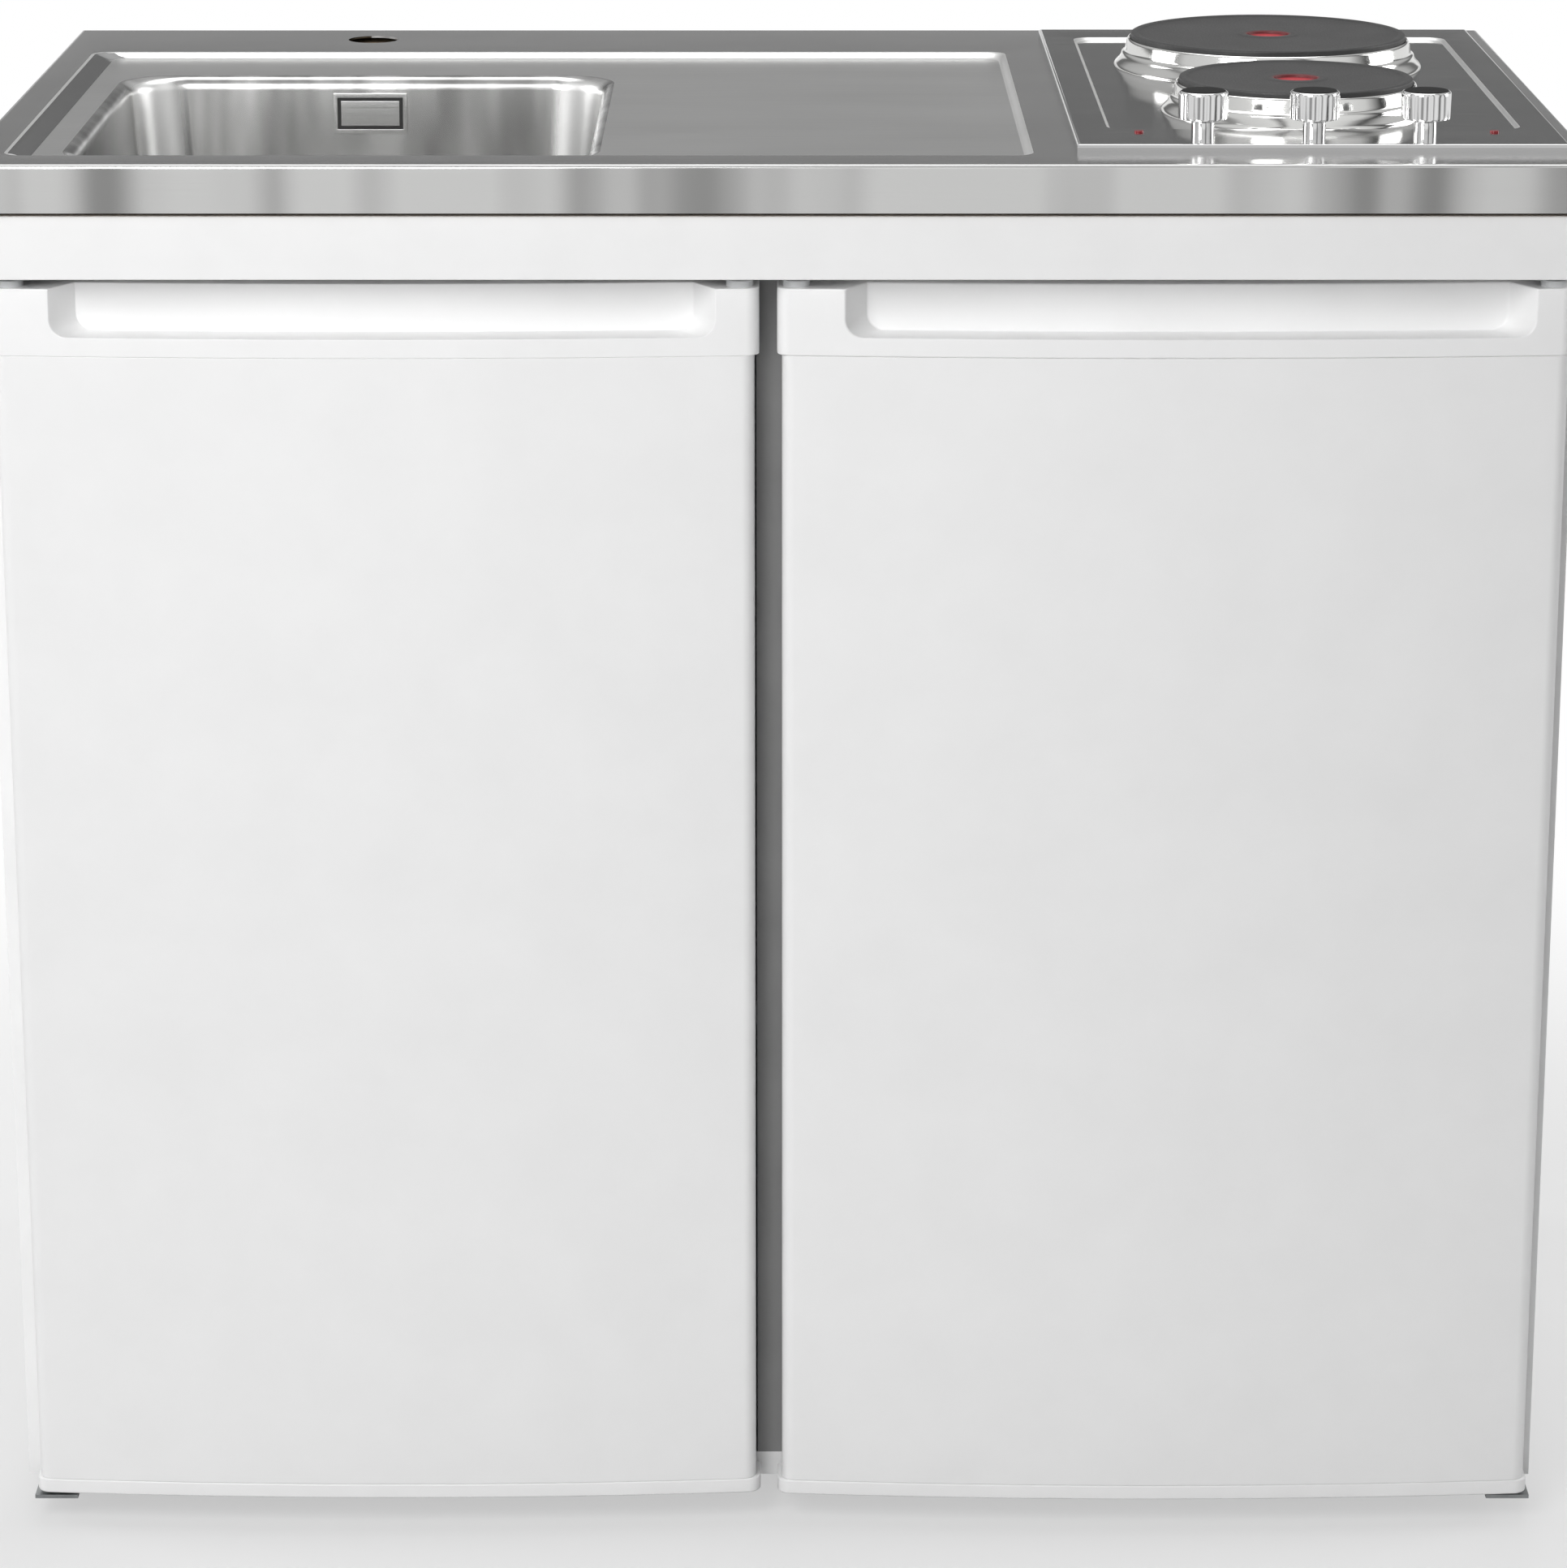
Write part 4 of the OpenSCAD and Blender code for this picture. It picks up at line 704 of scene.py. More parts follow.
# %% Second step: the recess behind the opening
def fill(kind, test):
    """Selects by place and adds the edge or face that is missing."""
    pick(kind, test)
    bpy.ops.mesh.edge_face_add()


def sides_in(y, left, right, by):
    """Draws the recess's two ends at depth y together, so that its side walls lean."""
    for end, way in ((left, 1), (right, -1)):
        pick("VERT", lambda p: near(p.y, y) and abs(p.x - end) < grip_r + EPS)
        bpy.ops.transform.translate(value=(way * by, 0, 0))


def grip_recess(left, right, lip_z, z1):
    y = door_y
    for depth in (lip_t, grip_depth - lip_t):
        pick("EDGE", lambda p: near(p.y, y) and left - EPS < p.x < right + EPS
             and p.z > lip_z - EPS)
        extrude(0, depth, 0)
        y += depth
        sides_in(y, left, right, depth * end_lean)
        left, right = left + depth * end_lean, right - depth * end_lean
    fill("EDGE", lambda p: near(p.y, y))
    fill("VERT", lambda p: near(p.y, y) and near(p.z, z1))
    fill("EDGE", lambda p: near(p.y, y))


print("grip recess", grip_depth, "m deep ready")

# %% Third step: its bow, its sides and its back
def trim_body(x0, x1, z0, z1):
    for i in range(1, columns):
        bpy.ops.mesh.select_all(action="SELECT")
        bpy.ops.mesh.bisect(plane_co=(x0 + (x1 - x0) * i / columns, 0, 0), plane_no=(1, 0, 0))
    bow_out(x0, x1)
    pick("EDGE", lambda p: near(p.x, x0) or near(p.x, x1))
    pick("EDGE", lambda p: near(p.z, z0), add_to=True)
    extrude_to_back()
    fill("VERT", lambda p: near(p.y, door_back) and near(p.z, z1))
    fill("EDGE", lambda p: near(p.y, door_back))
    fill("EDGE", lambda p: near(p.z, z1))
    round_upright_edges(x0, x1)


def handle_trim(name, x0, x1, z0, z1, a, b):
    piece = trim_front(name, x0, x1, z0, z1, a, b)
    grip_recess(a, b, z0 + lip_h, z1)
    trim_body(x0, x1, z0, z1)
    return finish_shape(piece, bevel=trim_edge_r)


print("handle trim ready")

# %% [markdown]
# ## The two doors
#
# The doors differ only in size and in where the grip lies. A skin is 1 mm sheet, so the bowed slab
# loses its back and gets that wall. The trims are mouldings and stay solid.

# %% The two doors
grips = {"left": (-0.449, -0.039), "right": (0.041, 0.466)}
skin_sheet = 0.001
sill_edge_r = 0.0014

for side in ("left", "right"):
    door = f"{side}_door"
    trim_low, trim_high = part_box(f"{side}_door_handle")
    skin_low, skin_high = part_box(f"{side}_door_panel")
    sill_low, sill_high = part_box(f"{side}_door_sill")
    bow = (trim_low.x, trim_high.x)
    trim = handle_trim(f"{side}_handle_trim", *bow, trim_low.z, trim_high.z, *grips[side])
    place(trim, door, "white_plastic", f"{side}_door_handle")
    skin = bowed_slab(f"{side}_door_skin", skin_low.x, skin_high.x, skin_low.z, skin_high.z, bow)
    pick("FACE", lambda p: near(p.y, door_back))
    bpy.ops.mesh.delete(type="FACE")
    finish_shape(skin, wall=skin_sheet, bevel=sheet_edge_r)
    place(skin, door, "white_steel", f"{side}_door_panel")
    sill = bowed_slab(f"{side}_sill_trim", sill_low.x, sill_high.x, sill_low.z, sill_high.z, bow)
    finish_shape(sill, bevel=sill_edge_r)
    place(sill, door, "white_plastic", f"{side}_door_sill")

# %% [markdown]
# ## Materials
#
# Every finish is procedural: noise of a real size varies its colour, roughness and height, as
# making and wear do. Colours are written as they look (sRGB) and made linear by one function, and
# one small function adds any node.

# %% Colour and nodes
def linear(code, alpha=1.0):
    """An sRGB hex colour as the linear values that the nodes take."""
    parts = [int(code[i:i + 2], 16) / 255 for i in (1, 3, 5)]
    return [c / 12.92 if c <= 0.04045 else ((c + 0.055) / 1.055) ** 2.4 for c in parts] + [alpha]


def add(owner, kind, settings=None, inputs=None):
    """Adds a node: settings are its own properties, inputs its sockets, set or linked."""
    node = owner.node_tree.nodes.new(kind)
    for key, value in (settings or {}).items():
        setattr(node, key, value)
    for key, value in (inputs or {}).items():
        if isinstance(value, bpy.types.NodeSocket):
            owner.node_tree.links.new(value, node.inputs[key])
        else:
            node.inputs[key].default_value = value
    return node


def new_material(name):
    material = bpy.data.materials.new(name)
    material.use_nodes = True
    material.node_tree.nodes.clear()
    return material


print("white is", [round(c, 3) for c in linear("#f4f4f4")])

# %% [markdown]
# ## Patterns
#
# Object coordinates are metres here, so a pattern's scale is one over the size of its features.
# Noise seldom leaves 0.3 to 0.7, so that range becomes light to dark or smooth to rough. An image
# would do too, but would repeat.

# %% Noise, and colours that follow it
mm, um = 0.001, 0.000001
noise_range = (0.3, 0.7)


def pattern(material, size, stretch=(1, 1, 1), detail=3.0):
    """Noise whose features are about size metres across, stretched along an axis."""
    place_in = add(material, "ShaderNodeTexCoord").outputs["Object"]
    scaled = add(material, "ShaderNodeMapping", inputs={
        "Vector": place_in, "Scale": [1 / (size * s) for s in stretch]})
    noise = add(material, "ShaderNodeTexNoise", inputs={
        "Vector": scaled.outputs[0], "Scale": 1.0, "Detail": detail, "Roughness": 0.55})
    return noise.outputs[0]


def mottled(material, noise, light, dark):
    """A colour that goes from light to dark with the noise."""
    share = add(material, "ShaderNodeMapRange", inputs={
        "Value": noise, "From Min": noise_range[0], "From Max": noise_range[1]})
    return add(material, "ShaderNodeMix", {"data_type": "RGBA"}, {
        "Factor": share.outputs[0], "A": linear(light), "B": linear(dark)}).outputs["Result"]


def laid_over(material, under, value, ends, code):
    """Lays a colour over another, none at ends[0] and all at ends[1]; gives it and its share."""
    share = add(material, "ShaderNodeMapRange", {"interpolation_type": "SMOOTHSTEP"}, {
        "Value": value, "From Min": ends[0], "From Max": ends[1]}).outputs[0]
    colour = add(material, "ShaderNodeMix", {"data_type": "RGBA"}, {
        "Factor": share, "A": under, "B": linear(code)}).outputs["Result"]
    return colour, share


print("patterns ready")

# %% From colour, roughness and heights to a finish
def surface(material, colour, varies, rough, bumps, over=noise_range, **direct):
    """Joins a finish: roughness follows varies, and bumps are (height pattern, metres) pairs.

    direct holds the sockets that are the same all over the surface.
    """
    roughness = add(material, "ShaderNodeMapRange", inputs={
        "Value": varies, "From Min": over[0], "From Max": over[1],
        "To Min": rough[0], "To Max": rough[1]})
    normal = {}
    for height, depth in bumps:
        bump = add(material, "ShaderNodeBump", inputs={
            "Height": height, "Distance": depth, "Strength": 1.0, **normal})
        normal = {"Normal": bump.outputs[0]}
    shader = add(material, "ShaderNodeBsdfPrincipled", inputs={
        "Base Color": colour, "Roughness": roughness.outputs[0], **normal, **direct})
    add(material, "ShaderNodeOutputMaterial", inputs={"Surface": shader.outputs[0]})
    return material


def coated(name, light, dark, rough, texture, height, mottle=60 * mm, **direct):
    """A coated, plated or moulded surface: a fine texture and a slight mottle."""
    material = new_material(name)
    fine = pattern(material, texture)
    colour = mottled(material, pattern(material, mottle), light, dark)
    return surface(material, colour, fine, (rough - 0.04, rough + 0.04), [(fine, height)],
                   **direct)


def rolled(name, light, dark, rough, stretch=(90, 1, 1), line=0.9 * mm, height=1 * um,
           wave=(0.05, 0.1, 0.1), buckle=100 * um):
    """Steel sheet: fine lines along one axis, and slow waves that bend what it mirrors.

    The real lines are 0.1 to 0.3 mm apart, too fine to show, and are drawn coarser.
    """
    material = new_material(name)
    lines = pattern(material, line, stretch, 2.0)
    waves = pattern(material, 1.0, wave, 1.0)
    tones = pattern(material, 1.0, (0.225, 0.09, 0.09), 2.0)
    return surface(material, mottled(material, tones, light, dark), lines,
                   (rough - 0.03, rough + 0.03), [(waves, buckle), (lines, height)],
                   Metallic=1.0)


print("recipes ready")

# %% [markdown]
# ## Steels and other metals
#
# Polished steel has hardly a colour of its own: it is what it mirrors. One steel differs from
# another in how rough it is, which way its lines run and how much it is buckled.

# %% Metals
materials = {
    # Cold-rolled and polished along its length: long soft streaks of light.
    "worktop_steel": rolled("polished_stainless", "#cccccb", "#c2c2c1", 0.19),
    # The same sheet, ground after pressing: duller and more even.
    "drainer_steel": rolled("satin_stainless", "#cccccb", "#c2c2c1", 0.31),
    # A pressed bend: a paler colour than the sheet, a painted highlight, a soft line without
    # streaks.
    "bead_highlight_steel": rolled("die_pressed_stainless", "#e0e0df", "#d8d8d7", 0.40, (1, 1, 1), 1 * mm),
    # Mirror-rolled sheet, nearly flat: sharp reflections of plates and knobs.
    "tray_steel": rolled("mirror_stainless", "#cacaca", "#c4c4c4", 0.10, (60, 1, 1),
                         height=0.5 * um, wave=(0.04, 0.08, 0.08), buckle=30 * um),
    # Spun and buffed rings: bright bands that run round the plates.
    "collar_steel": rolled("bright_stainless", "#e8e8e6", "#dededc", 0.10, (1, 1, 1), 2 * mm,
                           0.5 * um),
    # Chrome on moulded plastic: the sharpest and whitest reflections.
    "knob_chrome": coated("chrome_plating", "#eeeeee", "#e6e6e6", 0.08, 4 * mm, 0.5 * um,
                          Metallic=1.0),
    # Zinc plating: grey, with a fine cloudy spangle.
    "zinc": coated("zinc_plated_steel", "#a9abac", "#8e9192", 0.42, 3 * mm, 5 * um, 20 * mm,
                   Metallic=1.0),
    # Etched and anodised aluminium: pale, matt and half a metal to the eye.
    "aluminium": coated("anodised_aluminium", "#dcdedf", "#cfd1d2", 0.42, 2 * mm, 6 * um,
                        Metallic=0.5),
    # Stoved enamel: black with a dull sheen.
    "black_enamel": coated("black_stoved_enamel", "#1b1b1c", "#232325", 0.38, 1.5 * mm, 6 * um),
}
print(len(materials), "metal finishes")

# %% [markdown]
# ## The bowl's steel
#
# Deep drawing leaves upright streaks on the walls. The corners get a near-white colour and more
# roughness, a painted highlight, and the side walls a darker grey, a painted shade, for what they
# would mirror. Normals tell the places apart: x and y are both large on a corner, and x alone on a
# side wall.

# %% Drawn stainless
drawn = new_material("drawn_stainless")
facing = add(drawn, "ShaderNodeNewGeometry").outputs["Normal"]
parts = add(drawn, "ShaderNodeSeparateXYZ", inputs={0: facing})
x_and_y = add(drawn, "ShaderNodeMath", {"operation": "MULTIPLY"}, {
    0: parts.outputs[0], 1: parts.outputs[1]})
corner_highlight_mask = add(drawn, "ShaderNodeMath", {"operation": "ABSOLUTE"}, {0: x_and_y.outputs[0]})
side_wall_shade_mask = add(drawn, "ShaderNodeMath", {"operation": "ABSOLUTE"}, {0: parts.outputs[0]})

streaks = pattern(drawn, 1.0, (0.035, 0.035, 0.30), 2.0)
wall = mottled(drawn, streaks, "#d6d6d5", "#858584")
# Side walls: a darker grey laid over the streaks is painted shade.
wall = laid_over(drawn, wall, side_wall_shade_mask.outputs[0], (0.80, 0.97), "#9c9c9b")[0]
# Corners: a near-white colour laid over is a painted highlight; the same share raises the
# roughness.
colour, corner = laid_over(drawn, wall, corner_highlight_mask.outputs[0], (0.04, 0.36), "#f8f8f7")
lines = pattern(drawn, 1.2 * mm, (1, 1, 12), 2.0)
materials["bowl_steel"] = surface(drawn, colour, corner, (0.21, 0.36), [(lines, 1 * um)],
                                  over=(0, 1), Metallic=1.0)
print("bowl finish ready")

# %% [markdown]
# ## The folded front edge
#
# The upright fold is only 30 mm high and slightly buckled, so it mirrors the room as soft upright
# bands, 30 to 90 mm wide. They are drawn in colour, which is surer here than bending the
# reflections.

# %% Folded stainless
folded = new_material("folded_stainless")
bands = pattern(folded, 75 * mm, (1, 40, 40), 1.5)
lines = pattern(folded, 0.9 * mm, (90, 1, 1), 2.0)
colour = laid_over(folded, linear("#d4d4d3"), bands, (0.56, 0.26), "#7c7c7b")[0]
materials["edge_steel"] = surface(folded, colour, lines, (0.19, 0.25), [(bands, 100 * um)],
                                  Metallic=1.0)
print("folded edge ready")

# %% [markdown]
# ## Cast iron
#
# The plates are sand-cast, turned on their face and given a dark heat-proof coating: the eye sees
# fine rings over a grainy black, and a red mark in the middle for quick heating. The rings are the
# sine of the distance from the plate's middle.

# %% Coated cast iron
ring_spacing = 1.1 * mm
ring_share = 0.35
mark_inner, mark_outer = 9.0 * mm, 16.5 * mm


def cast_iron(name, middle):
    material = new_material(name)
    place_in = add(material, "ShaderNodeTexCoord").outputs["Object"]
    centred = add(material, "ShaderNodeMapping", inputs={
        "Vector": place_in, "Location": (-middle.x, -middle.y, 0)})
    parts = add(material, "ShaderNodeSeparateXYZ", inputs={0: centred.outputs[0]})
    flat = add(material, "ShaderNodeCombineXYZ", inputs={0: parts.outputs[0], 1: parts.outputs[1]})
    away = add(material, "ShaderNodeVectorMath", {"operation": "LENGTH"}, {
        0: flat.outputs[0]}).outputs["Value"]
    turns = add(material, "ShaderNodeMath", {"operation": "MULTIPLY"}, {
        0: away, 1: 2 * math.pi / ring_spacing})
    rings = add(material, "ShaderNodeMath", {"operation": "SINE"}, {0: turns.outputs[0]})
    sand = pattern(material, 1.2 * mm)
    both = add(material, "ShaderNodeMath", {"operation": "MULTIPLY_ADD"}, {
        0: rings.outputs[0], 1: ring_share, 2: sand})
    iron = mottled(material, pattern(material, 30 * mm), "#292929", "#353535")
    colour = laid_over(material, iron, away, (mark_outer, mark_inner), "#bd2734")[0]
    return surface(material, colour, sand, (0.44, 0.56), [(both.outputs[0], 30 * um)])


print("cast iron ready")

# %% [markdown]
# ## Whites, plastics, boards and the rest
#
# Lacquer on steel, moulded plastic and melamine are all white, but differ a little in tone, gloss
# and texture, and that keeps the front from looking like one block.

# %% Whites, plastics, boards and the rest
materials.update({
    # Stoved lacquer on sheet: an even white, soft gloss, a faint orange peel.
    "white_steel": coated("white_lacquered_steel", "#f3f3f3", "#f0f0f0", 0.34, 2.5 * mm, 4 * um),
    # ABS from a fine-eroded mould: slightly whiter, with a tight grain.
    "white_plastic": coated("white_moulded_plastic", "#f5f5f5", "#f2f2f2", 0.36, 0.6 * mm, 3 * um),
    # Melamine pressed on board: matt, with a pearly grain.
    "white_board": coated("white_melamine_board", "#f3f3f3", "#efefef", 0.46, 0.8 * mm, 6 * um),
    # Particle board, uncoated: brown chips and a rough face.
    "raw_board": coated("raw_particle_board", "#a3927a", "#83725c", 0.85, 3 * mm, 150 * um, 6 * mm),
    # Edging tape on the partition, in the gap between the doors: a flat mid grey that partly paints
    # the shade in that gap.
    "dark_edge": coated("dark_grey_edging", "#8a8a8a", "#828282", 0.55, 0.8 * mm, 8 * um),
    # Moulded bushes and the dial: pale grey with a low sheen.
    "pale_plastic": coated("pale_grey_plastic", "#d9dadb", "#cfd1d2", 0.42, 0.8 * mm, 6 * um),
    # Polypropylene traps and pipes: a warm waxy white.
    "pipe_plastic": coated("white_drain_plastic", "#e6e6e2", "#dcdcd8", 0.40, 1 * mm, 6 * um),
    # Polyurethane foam: yellow, open and dull.
    "foam": coated("rigid_foam", "#e6d9a8", "#d5c48c", 0.90, 2 * mm, 200 * um, 10 * mm),
    # Soft PVC seals: light grey and nearly matt.
    "seal_rubber": coated("grey_seal_rubber", "#c9c9c9", "#bdbdbd", 0.62, 1 * mm, 20 * um),
    # Polyamide feet: near black, with a coarse grain.
    "foot_plastic": coated("black_foot_plastic", "#242424", "#2d2d2d", 0.50, 1 * mm, 20 * um),
    # Phenolic switch bodies: dark brown, faintly glossy.
    "switch_plastic": coated("brown_switch_plastic", "#3b2f27", "#4a3c32", 0.45, 1 * mm, 10 * um),
    # Rubber mounts: black without a highlight.
    "mount_rubber": coated("mount_rubber", "#222222", "#2b2b2b", 0.70, 1.5 * mm, 30 * um),
    # Pilot lamps, unlit: a deep glossy red.
    "lamp_red": coated("red_lamp_lens", "#8e1c24", "#7a161d", 0.18, 0.8 * mm, 4 * um),
    # The knobs' caps, matt moulded: black even under the lamps.
    "cap_black": coated("black_cap_plastic", "#1a1a1a", "#202020", 0.72, 0.6 * mm, 6 * um,
                        **{"Specular IOR Level": 0.15}),
    # Float glass shelves: clear, with a faint green.
    "glass": coated("clear_shelf_glass", "#f4faf7", "#eef6f2", 0.04, 50 * mm, 1 * um,
                    **{"Transmission Weight": 1.0, "IOR": 1.5, "Alpha": 0.4}),
    # Polystyrene drawer: clear but softer, with a faint blue.
    "clear_plastic": coated("clear_drawer_plastic", "#eef3f6", "#e6edf1", 0.14, 4 * mm, 10 * um,
                            **{"Transmission Weight": 0.9, "IOR": 1.49, "Alpha": 0.5}),
})
print(len(materials), "finishes")

# %% [markdown]
# ## Giving out the finishes
#
# The CAD record gives each piece a material slot, and most slots name their finish. The tables
# hold the exceptions. A piece with several finishes, such as the worktop, then takes the others
# face by face.

# %% Every piece and every carried-over CAD node gets its finish
slot_finish = {
    "stainless": "collar_steel", "hob_steel": "tray_steel", "zinc_steel": "zinc",
    "black_steel": "black_enamel",
}
piece_finish = {
    "worktop_and_bowl": "worktop_steel", "overflow_plate_pressed": "worktop_steel",
    "waste_body": "bowl_steel", "sink_strainer": "bowl_steel",
}
for end, plate in plates.items():
    middle = sum((Vector(corner) for corner in plate.bound_box), Vector()) / 8
    materials[plate.name] = cast_iron(f"coated_cast_iron_{end}", middle)
    piece_finish[plate.name] = plate.name
for black in caps:
    piece_finish[black.name] = "cap_black"

node_slot = {part["node"]: part["material_slot"] for part in frame["record"]["subparts"]}
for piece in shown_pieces():
    slot = piece.get("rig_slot") or node_slot[piece.name]
    finish = piece_finish.get(piece.name) or slot_finish.get(slot, slot)
    piece.data.materials.clear()
    piece.data.materials.append(materials[finish])

# %% The worktop's finishes, by place
on_worktop = ["worktop_steel", "bowl_steel", "edge_steel", "drainer_steel", "tray_steel",
              "bead_highlight_steel"]
for finish in on_worktop[1:]:
    worktop.data.materials.append(materials[finish])


def worktop_finish(face):
    """Tells the bowl's floor and walls, the front fold, the drainer and its edges apart."""
    x, y, z = face.center
    lean = face.normal
    if inside(bowl, face.center) and z < floor_z - EPS:
        return "drainer_steel" if abs(lean.z) > 0.95 and z < turn_top_z else "bowl_steel"
    if y < top_low.y + sheet and lean.y < -0.9:
        return "edge_steel"
    if near(z, floor_z, 1e-4) and lean.z > 0.99:
        return "drainer_steel"
    if floor_z < z < top_z - EPS and y > top_low.y + 0.01 and abs(x) < top_high.x - 0.01:
        # Slopes facing +X keep the mirror steel; the others take the bead steel, whose paler colour
        # is a painted highlight.
        return "tray_steel" if lean.x > 0.1 else "bead_highlight_steel"
    return "worktop_steel"


counts = dict.fromkeys(on_worktop, 0)
for face in worktop.data.polygons:
    finish = worktop_finish(face)
    face.material_index = on_worktop.index(finish)
    counts[finish] += 1
print("faces of the worktop", counts)

# %% The pressed edge of the hob's field gets a painted highlight, and the overflow's slot painted shade
tray.data.materials.append(materials["bead_highlight_steel"])
for face in tray.data.polygons:
    if tray_z - field_depth + EPS < face.center.z < tray_z - EPS and inside(field, face.center):
        face.material_index = 1

# The slot's floor takes black rubber as painted shade: the dark inside the open slot.
overflow.data.materials.append(materials["mount_rubber"])
for face in slot_shade_faces:
    face.material_index = 1
print("bead faces", sum(face.material_index for face in tray.data.polygons))
print("dark slot faces", len(slot_shade_faces))

# %% [markdown]
# ## Floor
#
# A pale floor that keeps the object's soft shadow and fades into the white background far off.
# Only the camera sees the fade, so it gives no light.

# %% Floor
floor_reach = 1.9
fade_start, fade_end = 0.7, 1.5

pale = new_material("pale_floor")
place_in = add(pale, "ShaderNodeTexCoord").outputs["Object"]
away = add(pale, "ShaderNodeVectorMath", {"operation": "LENGTH"}, {0: place_in})
fade = add(pale, "ShaderNodeMapRange", {"interpolation_type": "SMOOTHSTEP"}, {
    "Value": away.outputs["Value"], "From Min": fade_start, "From Max": fade_end,
    "To Min": 0.5, "To Max": 1.0})
seen = add(pale, "ShaderNodeLightPath").outputs["Is Camera Ray"]
share = add(pale, "ShaderNodeMath", {"operation": "MULTIPLY"}, {0: fade.outputs[0], 1: seen})
lit = add(pale, "ShaderNodeBsdfPrincipled", inputs={
    "Base Color": linear("#d4d4d4"), "Roughness": 0.7})
white = add(pale, "ShaderNodeEmission", inputs={"Color": linear("#ffffff"), "Strength": 1.0})
both = add(pale, "ShaderNodeMixShader", inputs={
    0: share.outputs[0], 1: lit.outputs[0], 2: white.outputs[0]})
add(pale, "ShaderNodeOutputMaterial", inputs={"Surface": both.outputs[0]})

floor = start("floor", bpy.ops.mesh.primitive_circle_add, (0, 0, 0), vertices=96,
              radius=floor_reach, fill_type="NGON")
bpy.ops.object.mode_set(mode="OBJECT")
floor.data.materials.append(pale)
print("floor of radius", floor_reach)

# %% [markdown]
# ## The room
#
# Steel needs something to mirror. The room is painted in greys: in front white with soft dark
# gaps, as between a studio's panels, and behind darker above the horizon. Real panels would have
# to be kept out of every view. The camera sees plain white instead, also through glass, and the
# room's own light is dim, so that the lamps shape the object.

# %% The greys that steel mirrors
# In front they run from left to right, and behind from the horizon up.
front_gaps = [(0.18, "#9a9a9a"), (0.24, "#2e2e2e"), (0.29, "#dcdcdc"), (0.40, "#ececec"),
              (0.435, "#7e7e7e"), (0.46, "#ececec"), (0.54, "#ececec"), (0.57, "#6e6e6e"),
              (0.60, "#f4f4f4"), (0.68, "#e0e0e0"), (0.73, "#2e2e2e"), (0.80, "#b0b0b0")]
behind_rise = [(0.00, "#f0f0f0"), (0.080, "#f0f0f0"), (0.115, "#707070"), (0.20, "#747474"),
               (0.32, "#b4b4b4"), (0.60, "#cccccc")]

world = bpy.data.worlds.new("room")
bpy.context.scene.world = world
world.use_nodes = True
world.node_tree.nodes.clear()


def greys(value, stops):
    """A colour that goes through the stops as value goes from 0 to 1."""
    node = add(world, "ShaderNodeValToRGB", inputs={0: value})
    ramp = node.color_ramp
    for at, code in stops[1:-1]:
        ramp.elements.new(at).color = linear(code)
    for end, (at, code) in ((0, stops[0]), (len(stops) - 1, stops[-1])):
        ramp.elements[end].position, ramp.elements[end].color = at, linear(code)
    return node.outputs[0]


print("room of", len(front_gaps), "and", len(behind_rise), "greys")

# %% Which way a ray leaves, and what it meets there
to_ray = add(world, "ShaderNodeTexCoord").outputs["Generated"]
way = add(world, "ShaderNodeSeparateXYZ", inputs={0: to_ray})
ahead = add(world, "ShaderNodeMath", {"operation": "MULTIPLY"}, {
    0: way.outputs[1], 1: -1.0}).outputs[0]
round_about = add(world, "ShaderNodeMath", {"operation": "ARCTAN2"}, {
    0: way.outputs[0], 1: ahead})
turn = add(world, "ShaderNodeMapRange", inputs={
    "Value": round_about.outputs[0], "From Min": -math.pi, "From Max": math.pi})
in_front = add(world, "ShaderNodeMapRange", {"interpolation_type": "SMOOTHSTEP"}, {
    "Value": ahead, "From Min": -0.25, "From Max": 0.15, "To Min": 0.0, "To Max": 1.0})
mirrored = add(world, "ShaderNodeMix", {"data_type": "RGBA"}, {
    "Factor": in_front.outputs[0], "A": greys(way.outputs[2], behind_rise),
    "B": greys(turn.outputs[0], front_gaps)})
print("room joined, front to back")

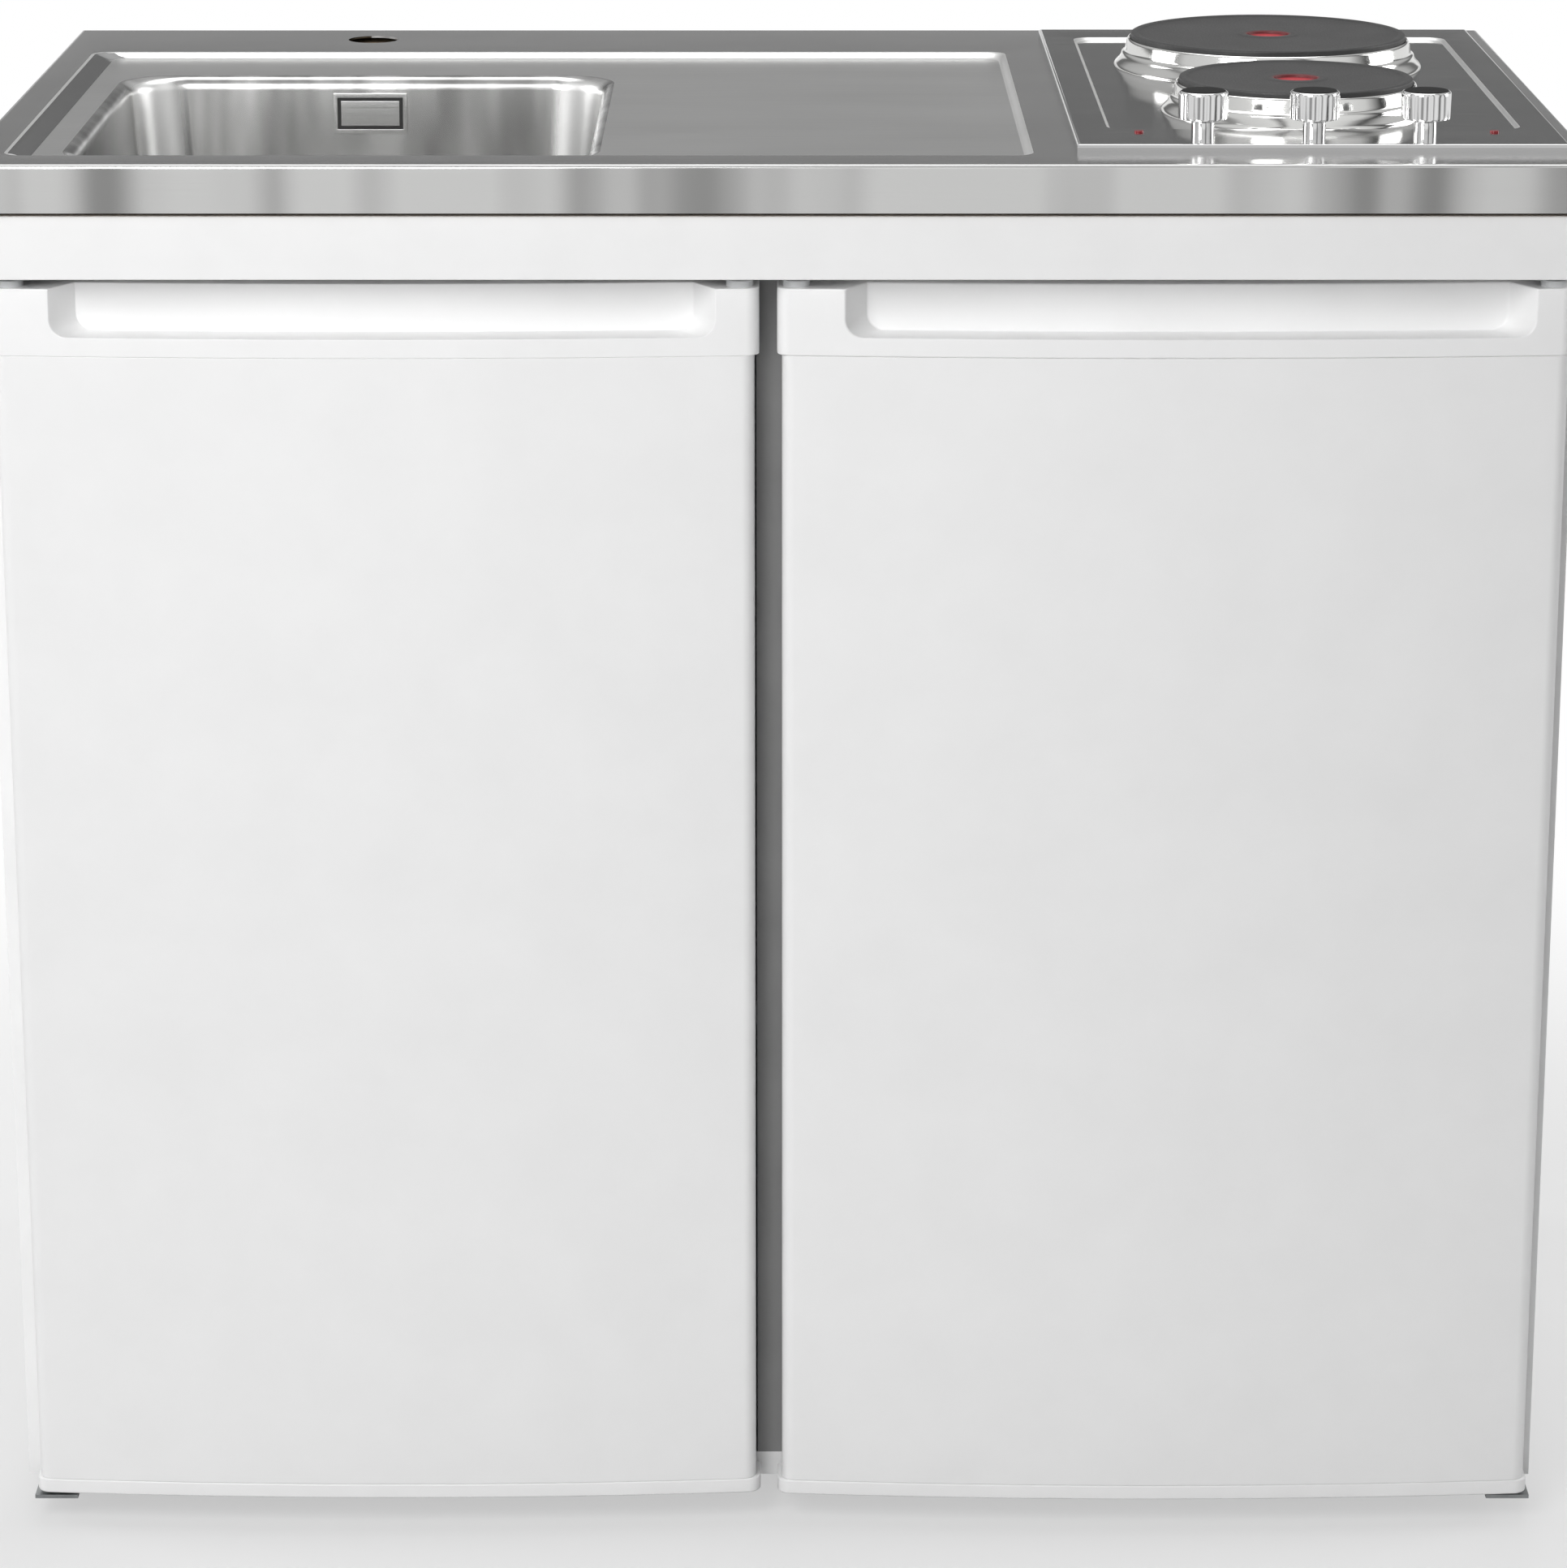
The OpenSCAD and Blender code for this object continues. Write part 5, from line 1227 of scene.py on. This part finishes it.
# %% White to the camera and through glass, grey to steel, dim to all that is lit by it
seen_colours = (linear("#6e6e6e"), mirrored.outputs["Result"], linear("#ffffff"))
dim, steel_sees, white = (
    add(world, "ShaderNodeBackground", inputs={"Color": colour, "Strength": 1.0}).outputs[0]
    for colour in seen_colours)
rays = add(world, "ShaderNodeLightPath")
clear = add(world, "ShaderNodeMath", {"operation": "MAXIMUM"}, {
    0: rays.outputs["Is Camera Ray"], 1: rays.outputs["Is Transmission Ray"]})
lit_or_mirrored = add(world, "ShaderNodeMixShader", inputs={
    0: rays.outputs["Is Glossy Ray"], 1: dim, 2: steel_sees})
both = add(world, "ShaderNodeMixShader", inputs={
    0: clear.outputs[0], 1: lit_or_mirrored.outputs[0], 2: white})
add(world, "ShaderNodeOutputWorld", inputs={"Surface": both.outputs[0]})
print("room ready")

# %% [markdown]
# ## Lamps
#
# Large soft lamps: a key from the left and a fill from far in front, both low, so that the white
# doors are evenly bright without clipping, one above for the worktop, and one at each side and
# behind. The fill and the back lamp are hidden from reflections, in which they would show as hard
# white panels. The others may be mirrored, which gives bowl and collars their sparkle.

# %% Lamps
def lamp(name, place_at, aim, size, watts, mirrored=True):
    data = bpy.data.lights.new(name, "AREA")
    data.shape, data.size, data.size_y, data.energy = "RECTANGLE", *size, watts
    light = bpy.data.objects.new(name, data)
    light.location = place_at
    light.rotation_euler = (Vector(aim) - Vector(place_at)).to_track_quat("-Z", "Y").to_euler()
    light.visible_glossy = mirrored
    bpy.context.collection.objects.link(light)
    return light


lamp("key", (-0.9, -2.1, 1.9), (0, -0.3, 0.9), (1.2, 1.2), 33)
lamp("fill", (-0.8, -4.4, 1.3), (0, -0.3, 0.8), (1.8, 1.8), 37, mirrored=False)
lamp("top", (0, 0.4, 3.2), (0, 0, 0.9), (2.2, 1.4), 27)
lamp("right side", (3.2, 0.6, 1.7), (0.5, 0, 0.5), (1.6, 1.6), 32)
lamp("left side", (-3.2, 0.6, 1.7), (-0.5, 0, 0.5), (1.6, 1.6), 32)
lamp("back", (0.4, 3.4, 1.5), (0, 0.3, 0.5), (2.0, 1.6), 55, mirrored=False)
print("lamps ready")
